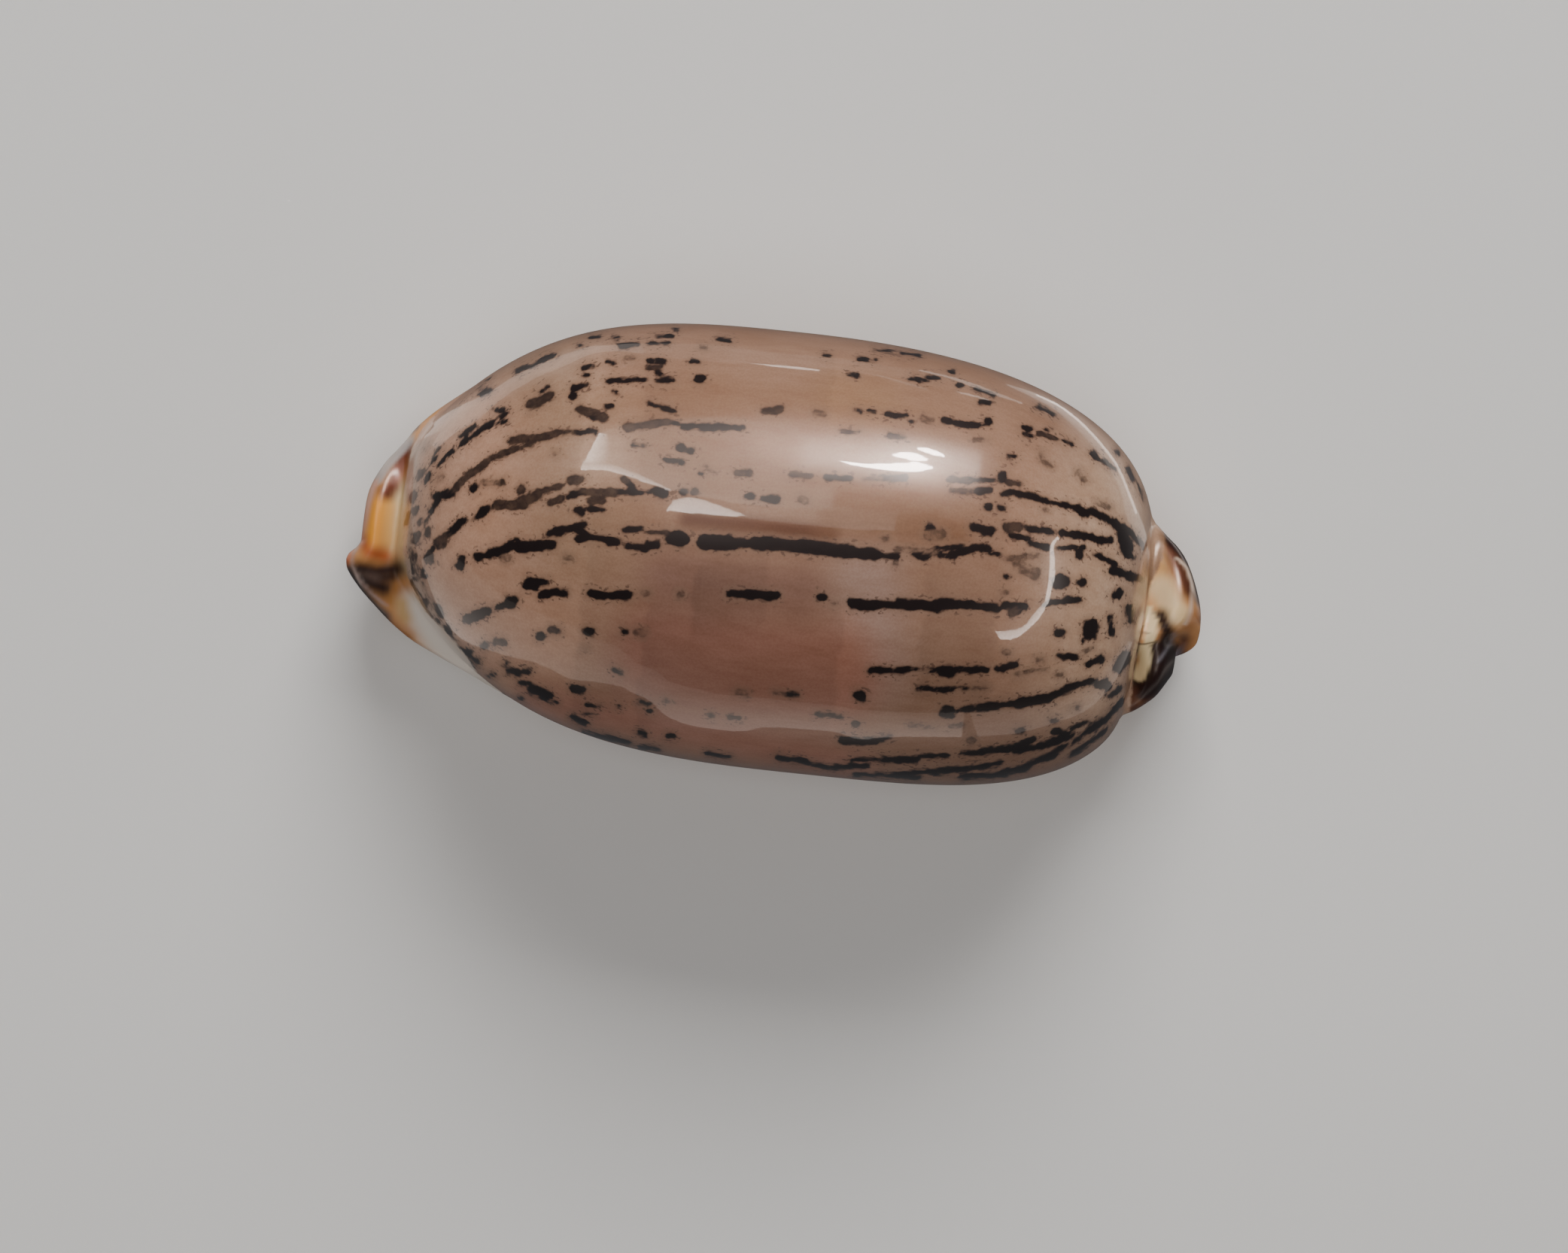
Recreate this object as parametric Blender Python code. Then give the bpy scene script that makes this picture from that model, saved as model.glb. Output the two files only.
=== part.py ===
"""Isabelle cowrie: one glossy sea shell, hollow, with a long toothed slit underneath.

The shape is worked out in millimetres and the mesh is made in metres.
+X points to the back end, where the spire is. +Y is the side of the outer lip. +Z is up.
The origin is on the surface that the shell rests on, under the middle of its box.
"""

import bmesh
import bpy
import numpy as np

MM = 0.001

# Overall size
LENGTH = 34.0
HEIGHT = 14.2
LIP_SIDE_HALF_WIDTH = 8.85
SPIRE_SIDE_HALF_WIDTH = 8.40
HALF = LENGTH / 2

# Heights of the middle line that the sections are drawn round
MIDDLE_HEIGHT = 5.2
FRONT_MIDDLE_HEIGHT = 3.1
BACK_MIDDLE_HEIGHT = 3.7
BODY_END_HEIGHT = 3.2
MIDDLE_ACROSS = 0.6
MIDDLE_SHIFT_AT_ENDS = -1.6

# The body's outlines: where the widest place is, then (reach, power, root) of the front and the back
LIP_SIDE_OVAL = (0.0, (16.2, 3.1, 1.3), (14.9, 2.3, 3.1))
SPIRE_SIDE_OVAL = (2.0, (17.5, 3.1, 1.5), (12.9, 3.2, 3.7))
BACK_LINE_OVAL = (1.5, (16.7, 2.4, 2.1), (13.25, 2.7, 2.4))
HOLLOW_OVAL = (0.5, (14.2, 2.8, 1.7), (13.2, 2.9, 2.4))

# The collars' outlines: (along, reach) to the lip side, to the spire side and up
FRONT_COLLAR_LIP_SIDE = [(-17, 1.6), (-16.5, 2.1), (-15.9, 2.65), (-15, 3.5), (-14, 4.1), (-12, 4.7)]
FRONT_COLLAR_SPIRE_SIDE = [(-17, 2.45), (-16.2, 3.15), (-15, 4.2), (-14, 4.85), (-13, 5.2), (-11, 5.45)]
FRONT_COLLAR_TOP = [(-17, 4.8), (-16.6, 5.15), (-15.5, 4.7), (-14, 4.4), (-12, 4.2)]
BACK_COLLAR_LIP_SIDE = [(13, 3.3), (14.6, 3.1), (15.3, 2.5), (16, 1.85), (16.6, 0.95), (17, 0.25)]
BACK_COLLAR_SPIRE_SIDE = [(13, 4.9), (14.8, 4.7), (15.8, 4.25), (16.4, 3.85), (17, 3.15)]
BACK_COLLAR_TOP = [(13, 5.0), (14.9, 5.3), (15.7, 5.9), (16.3, 5.85), (17, 4.9)]
COLLAR_BASE_LIFT = 0.5

# Roundness of the sections above and below the middle line: 2 is an ellipse, more is squarer
BODY_POWERS = (2.15, 2.7)
COLLAR_POWERS = (2.3, 2.6)
HOLLOW_POWERS = (2.2, 2.4)

# How softly the collars run into the body, and the hollow into its ends
FRONT_BLEND = 1.6
BACK_BLEND = 0.5
HOLLOW_BLEND = 0.6

# On the back end: (depth or height, angle, spread) of the valley and of the callus, and its place along
VALLEY = (0.55, 2.0, 0.3)
CALLUS = (0.55, 1.95, 0.42)
CALLUS_PLACE = 14.85
CALLUS_LENGTH = 0.42

# How far a lobe of each collar stays back from the end
FRONT_LOBE_SHORTER = 0.55
BACK_LOBE_SHORTER = 0.85

# The base: a little convex along the shell, with a small flat spot
BASE_RISE_AT_ENDS = 1.25
BASE_RISE_POWER = 2.6
FLAT_SPOT_DEPTH = 0.15

# The slit and its teeth
SLIT_ACROSS = 0.8
SLIT_TURN_AT_BACK = -2.9
SLIT_TURN_IN_FRONT = -1.85
SLIT_HALF_WIDTH = 0.62
SLIT_WIDENING_IN_FRONT = 0.14
LIP_ROUNDING = 0.75
LIP_ROUNDING_AT_ENDS = 0.40
TEETH = 27
TEETH_FRONT = -13.8
TEETH_BACK = 13.2
TOOTH_DEPTH = 0.26
LIP_TOOTH_LENGTH = 1.3
SPIRE_TOOTH_LENGTH = 0.9
TOOTH_PITCH = (TEETH_BACK - TEETH_FRONT) / TEETH

# The wall
WALL = 1.35
FLOOR_THICKNESS = 2.1
HOLLOW_ACROSS = 0.25
HOLLOW_MIDDLE_HEIGHT = 5.8
HOLLOW_FRONT_HEIGHT = 2.2
HOLLOW_BACK_HEIGHT = 2.4
ROOF_IN_FRONT = 2.9
ROOF_AT_BACK = 3.0
LEAST_FLOOR = 0.3
RIM_ROUNDING = 0.95
RIM_FLAT_SHARE = 0.22

# How finely the surface is divided
FRONT_STEPS = (0.0, 0.12, 0.42, 0.85, 1.3, 1.75, 2.2, 2.7)
BACK_STEPS = (0.0, 0.12, 0.42, 0.85, 1.3, 1.7, 2.05, 2.35, 2.7, 3.2)
WALL_ROWS = 2
CURL_ROWS = 2
ROUND_ROWS = 36
ROWS_PER_INNER_ROW = 2

SHELL_COLOUR = (0.30, 0.185, 0.135, 1.0)


def smooth_step(low, high, x):
    """0 below low, 1 above high and smooth between; low may be above high."""
    t = np.clip((x - low) / (high - low), 0, 1)
    return t * t * (3 - 2 * t)


def soft_max(a, b, blend):
    """The larger of two lengths, with the corner between them filled over the blend."""
    near = np.clip(1 - np.abs(a - b) / blend, 0, 1)
    return np.maximum(a, b) + blend * near * near / 4


def curve_through(points, x):
    """A smooth curve through a few (x, value) points, level beyond the first and last."""
    px, py = np.array(points, float).T
    slope = np.gradient(py, px)
    i = np.clip(np.searchsorted(px, x) - 1, 0, len(px) - 2)
    step = px[i + 1] - px[i]
    t = np.clip((x - px[i]) / step, 0, 1)
    from_left = (1 + 2 * t) * (1 - t) ** 2 * py[i] + t * (1 - t) ** 2 * step * slope[i]
    from_right = t * t * (3 - 2 * t) * py[i + 1] + t * t * (t - 1) * step * slope[i + 1]
    return from_left + from_right


def oval(x, middle, front, back):
    """A long oval outline as a share of its half-width, from (reach, power, root) of each end."""
    reach, power, root = (np.where(x < middle, f, b) for f, b in zip(front, back))
    along = np.clip(np.abs(x - middle) / reach, 0, 1)
    return (1 - along**power) ** (1 / root)


def body_extents(x):
    """How far the swollen body reaches to the lip side, to the spire side and up."""
    lip_side = LIP_SIDE_HALF_WIDTH * oval(x, *LIP_SIDE_OVAL)
    spire_side = SPIRE_SIDE_HALF_WIDTH * oval(x, *SPIRE_SIDE_OVAL)
    rise = (HEIGHT - BODY_END_HEIGHT) * oval(x, *BACK_LINE_OVAL)
    return lip_side, spire_side, BODY_END_HEIGHT + rise


def collar_extents(x):
    """The same for the collars, the flared spouts at both ends round the slit's outlets."""
    front = x < 0
    lip_side = np.where(
        front, curve_through(FRONT_COLLAR_LIP_SIDE, x), curve_through(BACK_COLLAR_LIP_SIDE, x)
    )
    spire_side = np.where(
        front, curve_through(FRONT_COLLAR_SPIRE_SIDE, x), curve_through(BACK_COLLAR_SPIRE_SIDE, x)
    )
    top = np.where(front, curve_through(FRONT_COLLAR_TOP, x), curve_through(BACK_COLLAR_TOP, x))
    return lip_side, spire_side, top


def middle_line(x):
    """The line inside the shell that the outer sections are drawn round: across, up."""
    across = MIDDLE_ACROSS + MIDDLE_SHIFT_AT_ENDS * smooth_step(7, 15, np.abs(x))
    ends = np.where(x < 0, FRONT_MIDDLE_HEIGHT, BACK_MIDDLE_HEIGHT)
    up = MIDDLE_HEIGHT + (ends - MIDDLE_HEIGHT) * smooth_step(7, 15.5, np.abs(x))
    return across, up


def slit_line(x):
    """Where the middle of the slit runs: nearly straight, and curved round the spire at the back."""
    towards_back = smooth_step(4.0, 16.5, x)
    towards_front = smooth_step(-2, -17, x)
    return SLIT_ACROSS + SLIT_TURN_AT_BACK * towards_back + SLIT_TURN_IN_FRONT * towards_front


def slit_half_width(x):
    """Half the width of the slit between the crests of the teeth, a little wider towards the front."""
    return SLIT_HALF_WIDTH + SLIT_WIDENING_IN_FRONT * smooth_step(0, -12, x)


def base_height(x):
    """Height of the underside above the lowest point of the section, along the shell."""
    return BASE_RISE_AT_ENDS * (np.abs(x) / HALF) ** BASE_RISE_POWER - FLAT_SPOT_DEPTH


def quarter_radius(angle, lip_side, spire_side, up, down, powers):
    """Radius of a four-quarter superellipse at an angle from the lip side, turning upwards."""
    c = np.cos(angle)
    s = np.sin(angle)
    across = np.maximum(np.where(c > 0, lip_side, spire_side), 0.05)
    along_z = np.maximum(np.where(s > 0, up, down), 0.05)
    power = np.where(s > 0, *powers)
    return (np.abs(c / across) ** power + np.abs(s / along_z) ** power) ** (-1 / power)


def bell(x, middle, spread):
    """A bell curve, 1 at its middle."""
    return np.exp(-(((x - middle) / spread) ** 2))


def outer_radius(x, angle):
    """Radius of the outside round the middle line: the body and the collars, run together."""
    across, up = middle_line(x)
    base = base_height(x)
    lip_side, spire_side, top = body_extents(x)
    body = quarter_radius(
        angle, lip_side - across, spire_side + across, top - up, up - base, BODY_POWERS
    )
    lip_side, spire_side, top = collar_extents(x)
    lift = COLLAR_BASE_LIFT * smooth_step(14.5, 12.0, np.abs(x))
    collar = quarter_radius(
        angle, lip_side - across, spire_side + across, top - up, up - base - lift, COLLAR_POWERS
    )
    # A valley between the two lobes of the back collar, above the slit's outlet
    depth, place, spread = VALLEY
    valley = depth * smooth_step(15.2, 16.6, x) * bell(angle, place, spread)
    # The callus that covers the spire, low on the blunt back end
    height, place, spread = CALLUS
    callus = height * bell(x, CALLUS_PLACE, CALLUS_LENGTH) * bell(angle, place, spread)
    return soft_max(body, collar - valley, np.where(x < 0, FRONT_BLEND, BACK_BLEND)) + callus


def inner_extents(x):
    """Middle across and up, then reach to either side, up and down, of the hollow."""
    wide = LIP_SIDE_HALF_WIDTH - WALL - HOLLOW_ACROSS
    high = HEIGHT - WALL - HOLLOW_MIDDLE_HEIGHT
    hollow = oval(x, *HOLLOW_OVAL)
    at_ends = smooth_step(8.5, 14.5, np.abs(x))
    end_height = np.where(x < 0, HOLLOW_FRONT_HEIGHT, HOLLOW_BACK_HEIGHT)
    across = HOLLOW_ACROSS + (slit_line(x) - HOLLOW_ACROSS) * at_ends
    up = HOLLOW_MIDDLE_HEIGHT + (end_height - HOLLOW_MIDDLE_HEIGHT) * at_ends
    roof = np.where(x < 0, ROOF_IN_FRONT, ROOF_AT_BACK)
    half = soft_max(slit_half_width(x), wide * hollow, HOLLOW_BLEND)
    top = soft_max(roof - up, high * hollow, HOLLOW_BLEND)
    return across, up, half, top, np.maximum(up - FLOOR_THICKNESS, LEAST_FLOOR)


def tooth_wave(x):
    """1 on the crests of the teeth and 0 in the gaps between them, and 1 beyond the last tooth."""
    turns = np.clip((x - TEETH_FRONT) / TOOTH_PITCH, 0, TEETH)
    return 0.5 + 0.5 * np.cos(2 * np.pi * turns)


def end_reach(x, angle):
    """Slides the rows of points along the shell so that each lobe of the collars ends where it should."""
    front_lip_side = smooth_step(2.3, 1.55, angle)
    back_spire_side = smooth_step(1.2, 2.3, angle)
    at_front = smooth_step(-14, -HALF, x)
    at_back = smooth_step(13.5, HALF, x)
    forward = FRONT_LOBE_SHORTER * at_front * front_lip_side
    return x + forward - BACK_LOBE_SHORTER * at_back * back_spire_side


def lip_rounding(x):
    """Radius of the curl from the base into the slit."""
    return LIP_ROUNDING + (LIP_ROUNDING_AT_ENDS - LIP_ROUNDING) * smooth_step(12, 15.5, np.abs(x))


def lip_rows(x, side, start_y, start_z, wall_top_z, curl_rows, wall_rows):
    """One lip of the slit, from the base round the curl and up the wall inside: y, z and angle rows."""
    tooth = TOOTH_DEPTH * (tooth_wave(x)[:, None] - 1)
    rounding = lip_rounding(x)[:, None]
    edge_y = (slit_line(x) + side * slit_half_width(x))[:, None]
    turn = np.linspace(0, np.pi / 2, curl_rows + 1)[None, 1:]
    curl_y = edge_y + (start_y - edge_y) * (1 - np.sin(turn)) - side * tooth * np.sin(turn)
    curl_z = start_z + rounding * (1 - np.cos(turn)) - tooth * np.cos(turn)
    climb = np.linspace(0, 1, wall_rows + 1)[None, 1:]
    foot_z = start_z + rounding
    wall_y = edge_y - side * tooth * (1 - smooth_step(0.3, 1.0, climb))
    wall_z = foot_z + (np.maximum(wall_top_z, foot_z + 0.3) - foot_z) * climb
    return np.hstack([curl_y, wall_y]), np.hstack([curl_z, wall_z])


def outer_rows(x, curl_rows, wall_rows, round_rows):
    """The outside of every section, from inside the slit on the spire side, over the back of the
    shell, to inside the slit on the lip side. Returns y, z and the angle of each row."""
    across, up = middle_line(x)
    base = base_height(x)
    in_across, in_up, half, _, in_down = inner_extents(x)
    power = HOLLOW_POWERS[1]
    reach = slit_half_width(x) + lip_rounding(x)
    slit = slit_line(x)
    lip_angle = np.arctan2(base - up, slit + reach - across)
    spire_angle = np.arctan2(base - up, slit - reach - across) + 2 * np.pi
    share = np.linspace(0, 1, round_rows + 1)[None, :]
    angle = spire_angle[:, None] + (lip_angle - spire_angle)[:, None] * share
    column = x[:, None]
    radius = outer_radius(column, angle)
    y = across[:, None] + radius * np.cos(angle)
    z = up[:, None] + radius * np.sin(angle)
    wave = tooth_wave(x)[:, None] - 1
    lip_gap = np.abs(y - (slit + reach)[:, None])
    spire_gap = np.abs(y - (slit - reach)[:, None])
    underneath = smooth_step(up[:, None] - 1.5, base[:, None], z)
    on_lip = smooth_step(LIP_TOOTH_LENGTH, 0.0, lip_gap) * (share > 0.5)
    on_spire = smooth_step(SPIRE_TOOTH_LENGTH, 0.0, spire_gap) * (share < 0.5)
    plain_z = z
    z = z - TOOTH_DEPTH * wave * underneath * (on_lip + on_spire)
    wall_tops = []
    for side in (-1, 1):
        offset = np.clip(side * (slit + side * slit_half_width(x) - in_across) / half, 0, 1)
        wall_tops.append((in_up - in_down * (1 - offset**power) ** (1 / power))[:, None])
    spire_y, spire_z = lip_rows(x, -1, y[:, :1], plain_z[:, :1], wall_tops[0], curl_rows, wall_rows)
    lip_y, lip_z = lip_rows(x, 1, y[:, -1:], plain_z[:, -1:], wall_tops[1], curl_rows, wall_rows)
    y = np.hstack([spire_y[:, ::-1], y, lip_y])
    z = np.hstack([spire_z[:, ::-1], z, lip_z])
    extra = curl_rows + wall_rows
    angle = np.hstack([np.repeat(angle[:, :1], extra, 1), angle, np.repeat(angle[:, -1:], extra, 1)])
    return y, z, angle


def inner_rows(x, y, z, round_rows):
    """The wall of the hollow, from the top of one lip over to the top of the other: y and z rows."""
    across, up, half, top, down = (v[:, None] for v in inner_extents(x))
    start = np.arctan2(z[:, :1] - up, y[:, :1] - across)
    start = np.where(start < 0, start + 2 * np.pi, start)
    end = np.arctan2(z[:, -1:] - up, y[:, -1:] - across)
    share = np.linspace(0, 1, round_rows + 1)[None, :]
    angle = start + (end - start) * share
    radius = quarter_radius(angle, half, half, top, down, HOLLOW_POWERS)
    inner_y = across + radius * np.cos(angle)
    inner_z = up + radius * np.sin(angle)
    # The first and last rows are the tops of the lips themselves
    pull = np.clip(1 - np.minimum(share, 1 - share) * 12, 0, 1)
    first = share < 0.5
    edge_y = np.where(first, y[:, :1], y[:, -1:])
    edge_z = np.where(first, z[:, :1], z[:, -1:])
    return inner_y + (edge_y - inner_y) * pull, inner_z + (edge_z - inner_z) * pull


def shell_rows(x, curl_rows, wall_rows, round_rows):
    """Outer and inner points of the whole shell: two arrays of (station, row, xyz)."""
    lip = curl_rows + wall_rows
    y, z, angle = outer_rows(x, curl_rows, wall_rows, round_rows)
    inner_y, inner_z = inner_rows(x, y, z, round_rows)
    along = end_reach(x[:, None], angle)
    outer = np.stack([along, y, np.maximum(z, 0.0)], -1)
    inner = np.stack([along[:, lip:-lip], inner_y, inner_z], -1)
    # At both ends the outside and the inside close round to meet in the middle of the wall
    to_end = np.minimum(np.minimum(x + HALF, HALF - x) / RIM_ROUNDING, 1)
    closing = RIM_FLAT_SHARE + (1 - RIM_FLAT_SHARE) * np.sqrt(1 - (1 - to_end) ** 2)
    closing = closing[:, None, None]
    middle = (outer[:, lip:-lip] + inner) / 2
    lips_too = np.pad(middle, ((0, 0), (lip, lip), (0, 0)), mode="edge")
    return lips_too + (outer - lips_too) * closing, middle + (inner - middle) * closing


def stations():
    """Positions along the shell: two for each tooth, and closer ones at the rounded ends."""
    teeth = np.linspace(TEETH_FRONT, TEETH_BACK, 2 * TEETH + 1)
    front = -HALF + np.array(FRONT_STEPS)
    back = HALF - np.array(BACK_STEPS[::-1])
    return np.concatenate([front, teeth, back])


def loft(bm, outer, inner, lip, rows_per_inner_row):
    """Skins the outer and inner points, and closes the strip between them at both ends."""
    inner = inner[:, ::rows_per_inner_row]
    out = [[bm.verts.new(p) for p in ring] for ring in outer]
    within = [[bm.verts.new(p) for p in ring[1:-1]] for ring in inner]
    within = [[ring[0], *between, ring[-1]] for ring, between in zip(out, within)]
    for grid in (out, within):
        for ring, following in zip(grid, grid[1:]):
            for i in range(len(ring) - 1):
                bm.faces.new((ring[i], ring[i + 1], following[i + 1], following[i]))
    last = len(within[0]) - 1
    for ring, inside in ((out[0], within[0]), (out[-1], within[-1])):
        for j in range(last):
            start = 0 if j == 0 else lip + j * rows_per_inner_row
            end = len(ring) if j == last - 1 else lip + (j + 1) * rows_per_inner_row + 1
            corners = [*ring[start:end], inside[j + 1], inside[j]]
            bm.faces.new(list(dict.fromkeys(corners)))


def shell_material():
    """Fawn glaze."""
    material = bpy.data.materials.new("fawn_glaze")
    material.use_nodes = True
    shader = material.node_tree.nodes["Principled BSDF"]
    shader.inputs["Base Color"].default_value = SHELL_COLOUR
    shader.inputs["Roughness"].default_value = 0.2
    shader.inputs["Metallic"].default_value = 0.0
    return material


def make_shell(collection):
    """The one piece."""
    outer, inner = shell_rows(stations(), CURL_ROWS, WALL_ROWS, ROUND_ROWS)
    low = outer.min((0, 1))
    high = outer.max((0, 1))
    centre = np.array([(low[0] + high[0]) / 2, (low[1] + high[1]) / 2, low[2]])
    bm = bmesh.new()
    lip = CURL_ROWS + WALL_ROWS
    loft(bm, (outer - centre) * MM, (inner - centre) * MM, lip, ROWS_PER_INNER_ROW)
    bmesh.ops.recalc_face_normals(bm, faces=bm.faces)
    mesh = bpy.data.meshes.new("cowrie_shell")
    bm.to_mesh(mesh)
    bm.free()
    mesh.materials.append(shell_material())
    mesh.shade_smooth()
    shell = bpy.data.objects.new("cowrie_shell", mesh)
    collection.objects.link(shell)
    return shell


def main():
    for thing in list(bpy.data.objects):
        bpy.data.objects.remove(thing)
    collection = bpy.data.collections.new("isabelle_cowrie")
    bpy.context.scene.collection.children.link(collection)
    make_shell(collection)


main()
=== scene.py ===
import math

import bpy
import numpy as np
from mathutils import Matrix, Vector
from mathutils.bvhtree import BVHTree


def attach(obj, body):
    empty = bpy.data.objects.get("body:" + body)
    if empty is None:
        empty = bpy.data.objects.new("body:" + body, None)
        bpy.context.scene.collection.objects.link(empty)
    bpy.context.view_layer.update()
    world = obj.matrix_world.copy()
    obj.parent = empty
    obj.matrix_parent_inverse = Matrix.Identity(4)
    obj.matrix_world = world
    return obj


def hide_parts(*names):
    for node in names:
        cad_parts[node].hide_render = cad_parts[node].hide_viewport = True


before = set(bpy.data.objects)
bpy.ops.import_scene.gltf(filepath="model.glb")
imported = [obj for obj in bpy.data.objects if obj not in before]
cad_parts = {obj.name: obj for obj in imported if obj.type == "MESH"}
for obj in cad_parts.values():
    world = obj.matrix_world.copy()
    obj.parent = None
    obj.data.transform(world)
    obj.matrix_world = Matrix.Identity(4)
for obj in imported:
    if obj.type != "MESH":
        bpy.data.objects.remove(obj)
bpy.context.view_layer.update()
print("frame loaded")

mm = 0.001
scene = bpy.context.scene


# The shell's form, in millimetres, the same as the solid's but on a finer grid.
# x runs to the spire end, y to the outer lip's side, z up; it is moved to the part's frame at the end.
shell = {
    "length": 34.0,
    "height": 14.2,
    "lipSideHalfWidth": 8.85,
    "spireSideHalfWidth": 8.40,
    "middleHeight": 5.2,
    "middleHeightAtEnds": (3.1, 3.7),  # pairs are for the front and the back
    "bodyEndHeight": 3.2,
    "baseRiseAtEnds": 1.25,
    "flatSpotDepth": 0.15,
    "slitHalfWidth": 0.62,
    "slitWideningInFront": 0.14,
    "lipRounding": 0.75,
    "lipRoundingAtEnds": 0.40,
    "teeth": 27,
    "teethFront": -13.8,
    "teethBack": 13.2,
    "toothDepth": 0.26,
    "lipToothLength": 1.3,
    "spireToothLength": 0.9,
    "wall": 1.35,
    "floorThickness": 2.1,
    "rimRounding": 0.95,
    "rimFlatShare": 0.22,
    "stations": 236,  # rings of points along the shell
    "roundRows": 336,  # points round each ring, from lip to lip over the back
    "curlRows": 8,
    "wallRows": 4,
    "rowsPerInnerRow": 8,
    "rimRings": 7,
    "rimReach": 0.42,
    "crowding": 0.10,  # of the rings towards the ends
    "crowdingOverBack": 0.055,  # of the points round a ring
    # ovals: where each is widest, then its reach, power and root to the front and to the back
    "lipSideOval": (0.0, (16.2, 3.1, 1.3), (14.9, 2.3, 3.1)),
    "spireSideOval": (2.0, (17.5, 3.1, 1.5), (12.9, 3.2, 3.7)),
    "backOval": (1.5, (16.7, 2.4, 2.1), (13.25, 2.7, 2.4)),
    "hollowOval": (0.5, (14.2, 2.8, 1.7), (13.2, 2.9, 2.4)),
    # roundness of the sections, above and below their middle
    "bodyPowers": (2.15, 2.7),
    "collarPowers": (2.3, 2.6),
    "hollowPowers": (2.2, 2.4),
    "blends": (1.6, 0.5),  # mm over which the collars run into the body
    "middleAcross": 0.6,
    "middleShiftAtEnds": 1.6,
    "slitAcross": 0.8,
    "slitBendAtBack": 2.9,
    "slitBendInFront": 1.85,
    "baseRisePower": 2.6,
    "collarLift": 0.5,
    "hollowAcross": 0.25,
    "hollowMiddleRise": 0.6,
    "hollowMiddleAtEnds": (2.2, 2.4),
    "hollowRoofAtEnds": (2.9, 3.0),
    "hollowBlend": 0.6,
    "leastDepth": 0.3,
    # lobes of the collars: reach, between which angles it sets in, and from which x
    "frontLobe": (0.55, 2.3, 1.55, -14),
    "backLobe": (0.85, 1.2, 2.3, 13.5),
}
# how far the collars reach, as (x, reach) in front and at the back
collars = {
    "lipSide": ([(-17, 1.6), (-16.5, 2.1), (-15.9, 2.65), (-15, 3.5), (-14, 4.1), (-12, 4.7)],
                [(13, 3.3), (14.6, 3.1), (15.3, 2.5), (16, 1.85), (16.6, 0.95), (17, 0.25)]),
    "spireSide": ([(-17, 2.45), (-16.2, 3.15), (-15, 4.2), (-14, 4.85), (-13, 5.2), (-11, 5.45)],
                  [(13, 4.9), (14.8, 4.7), (15.8, 4.25), (16.4, 3.85), (17, 3.15)]),
    "top": ([(-17, 4.8), (-16.6, 5.15), (-15.5, 4.7), (-14, 4.4), (-12, 4.2)],
            [(13, 5.0), (14.9, 5.3), (15.7, 5.9), (16.3, 5.85), (17, 4.9)]),
}
# the valley beside the spire and the callus over it, placed by the angle round the section
valley = {"depth": 0.55, "starts": 15.2, "full": 16.6, "angle": 2.0, "spread": 0.3}
callusLump = {"height": 0.55, "x": 14.85, "angle": 1.95, "spread": 0.42}
halfLength = shell["length"] / 2
toothPitch = (shell["teethBack"] - shell["teethFront"]) / shell["teeth"]


def smoothStep(low, high, x):
    # 0 below low, 1 above high and smooth between; low may be above high
    t = np.clip((x - low) / (high - low), 0, 1)
    return t * t * (3 - 2 * t)


def softMax(a, b, blend):
    # the larger of two lengths, with the corner between them filled over the blend
    near = np.clip(1 - np.abs(a - b) / blend, 0, 1)
    return np.maximum(a, b) + blend * near * near / 4


def curveThrough(points, x):
    # a smooth cubic through a few (x, value) points, level beyond the first and last
    px, py = np.array(points, float).T
    slope = np.gradient(py, px)
    i = np.clip(np.searchsorted(px, x) - 1, 0, len(px) - 2)
    step = px[i + 1] - px[i]
    t = np.clip((x - px[i]) / step, 0, 1)
    fromLeft = (1 + 2 * t) * (1 - t) ** 2 * py[i] + t * (1 - t) ** 2 * step * slope[i]
    fromRight = t * t * (3 - 2 * t) * py[i + 1] + t * t * (t - 1) * step * slope[i + 1]
    return fromLeft + fromRight


def oval(x, middle, front, back):
    # (1 - along^power)^(1/root): a long oval's half-width as a share, from the numbers of each end
    reach, power, root = (np.where(x < middle, f, b) for f, b in zip(front, back))
    along = np.clip(np.abs(x - middle) / reach, 0, 1)
    return (1 - along**power) ** (1 / root)


def bodyExtents(x):
    # how far the swollen body reaches to the lip side, to the spire side and up
    lipSide = shell["lipSideHalfWidth"] * oval(x, *shell["lipSideOval"])
    spireSide = shell["spireSideHalfWidth"] * oval(x, *shell["spireSideOval"])
    rise = (shell["height"] - shell["bodyEndHeight"]) * oval(x, *shell["backOval"])
    return lipSide, spireSide, shell["bodyEndHeight"] + rise


def collarExtents(x):
    # the same for the collars, the flared spouts round the slit's outlets
    return [
        np.where(x < 0, curveThrough(front, x), curveThrough(back, x))
        for front, back in collars.values()
    ]


def middleLine(x):
    # the line inside the shell that the outer sections are drawn round: across, up
    across = shell["middleAcross"] - shell["middleShiftAtEnds"] * smoothStep(7, 15, np.abs(x))
    ends = np.where(x < 0, *shell["middleHeightAtEnds"])
    up = shell["middleHeight"] + (ends - shell["middleHeight"]) * smoothStep(7, 15.5, np.abs(x))
    return across, up


def slitLine(x):
    # where the middle of the slit runs: curved round the spire at the back
    atBack = shell["slitBendAtBack"] * smoothStep(4.0, 16.5, x)
    return shell["slitAcross"] - atBack - shell["slitBendInFront"] * smoothStep(-2, -17, x)


def slitHalfWidth(x):
    # half the slit's opening, a little wider in front
    return shell["slitHalfWidth"] + shell["slitWideningInFront"] * smoothStep(0, -12, x)


def baseHeight(x):
    # height of the underside, rising to both ends
    rise = shell["baseRiseAtEnds"] * (np.abs(x) / halfLength) ** shell["baseRisePower"]
    return rise - shell["flatSpotDepth"]


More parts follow.
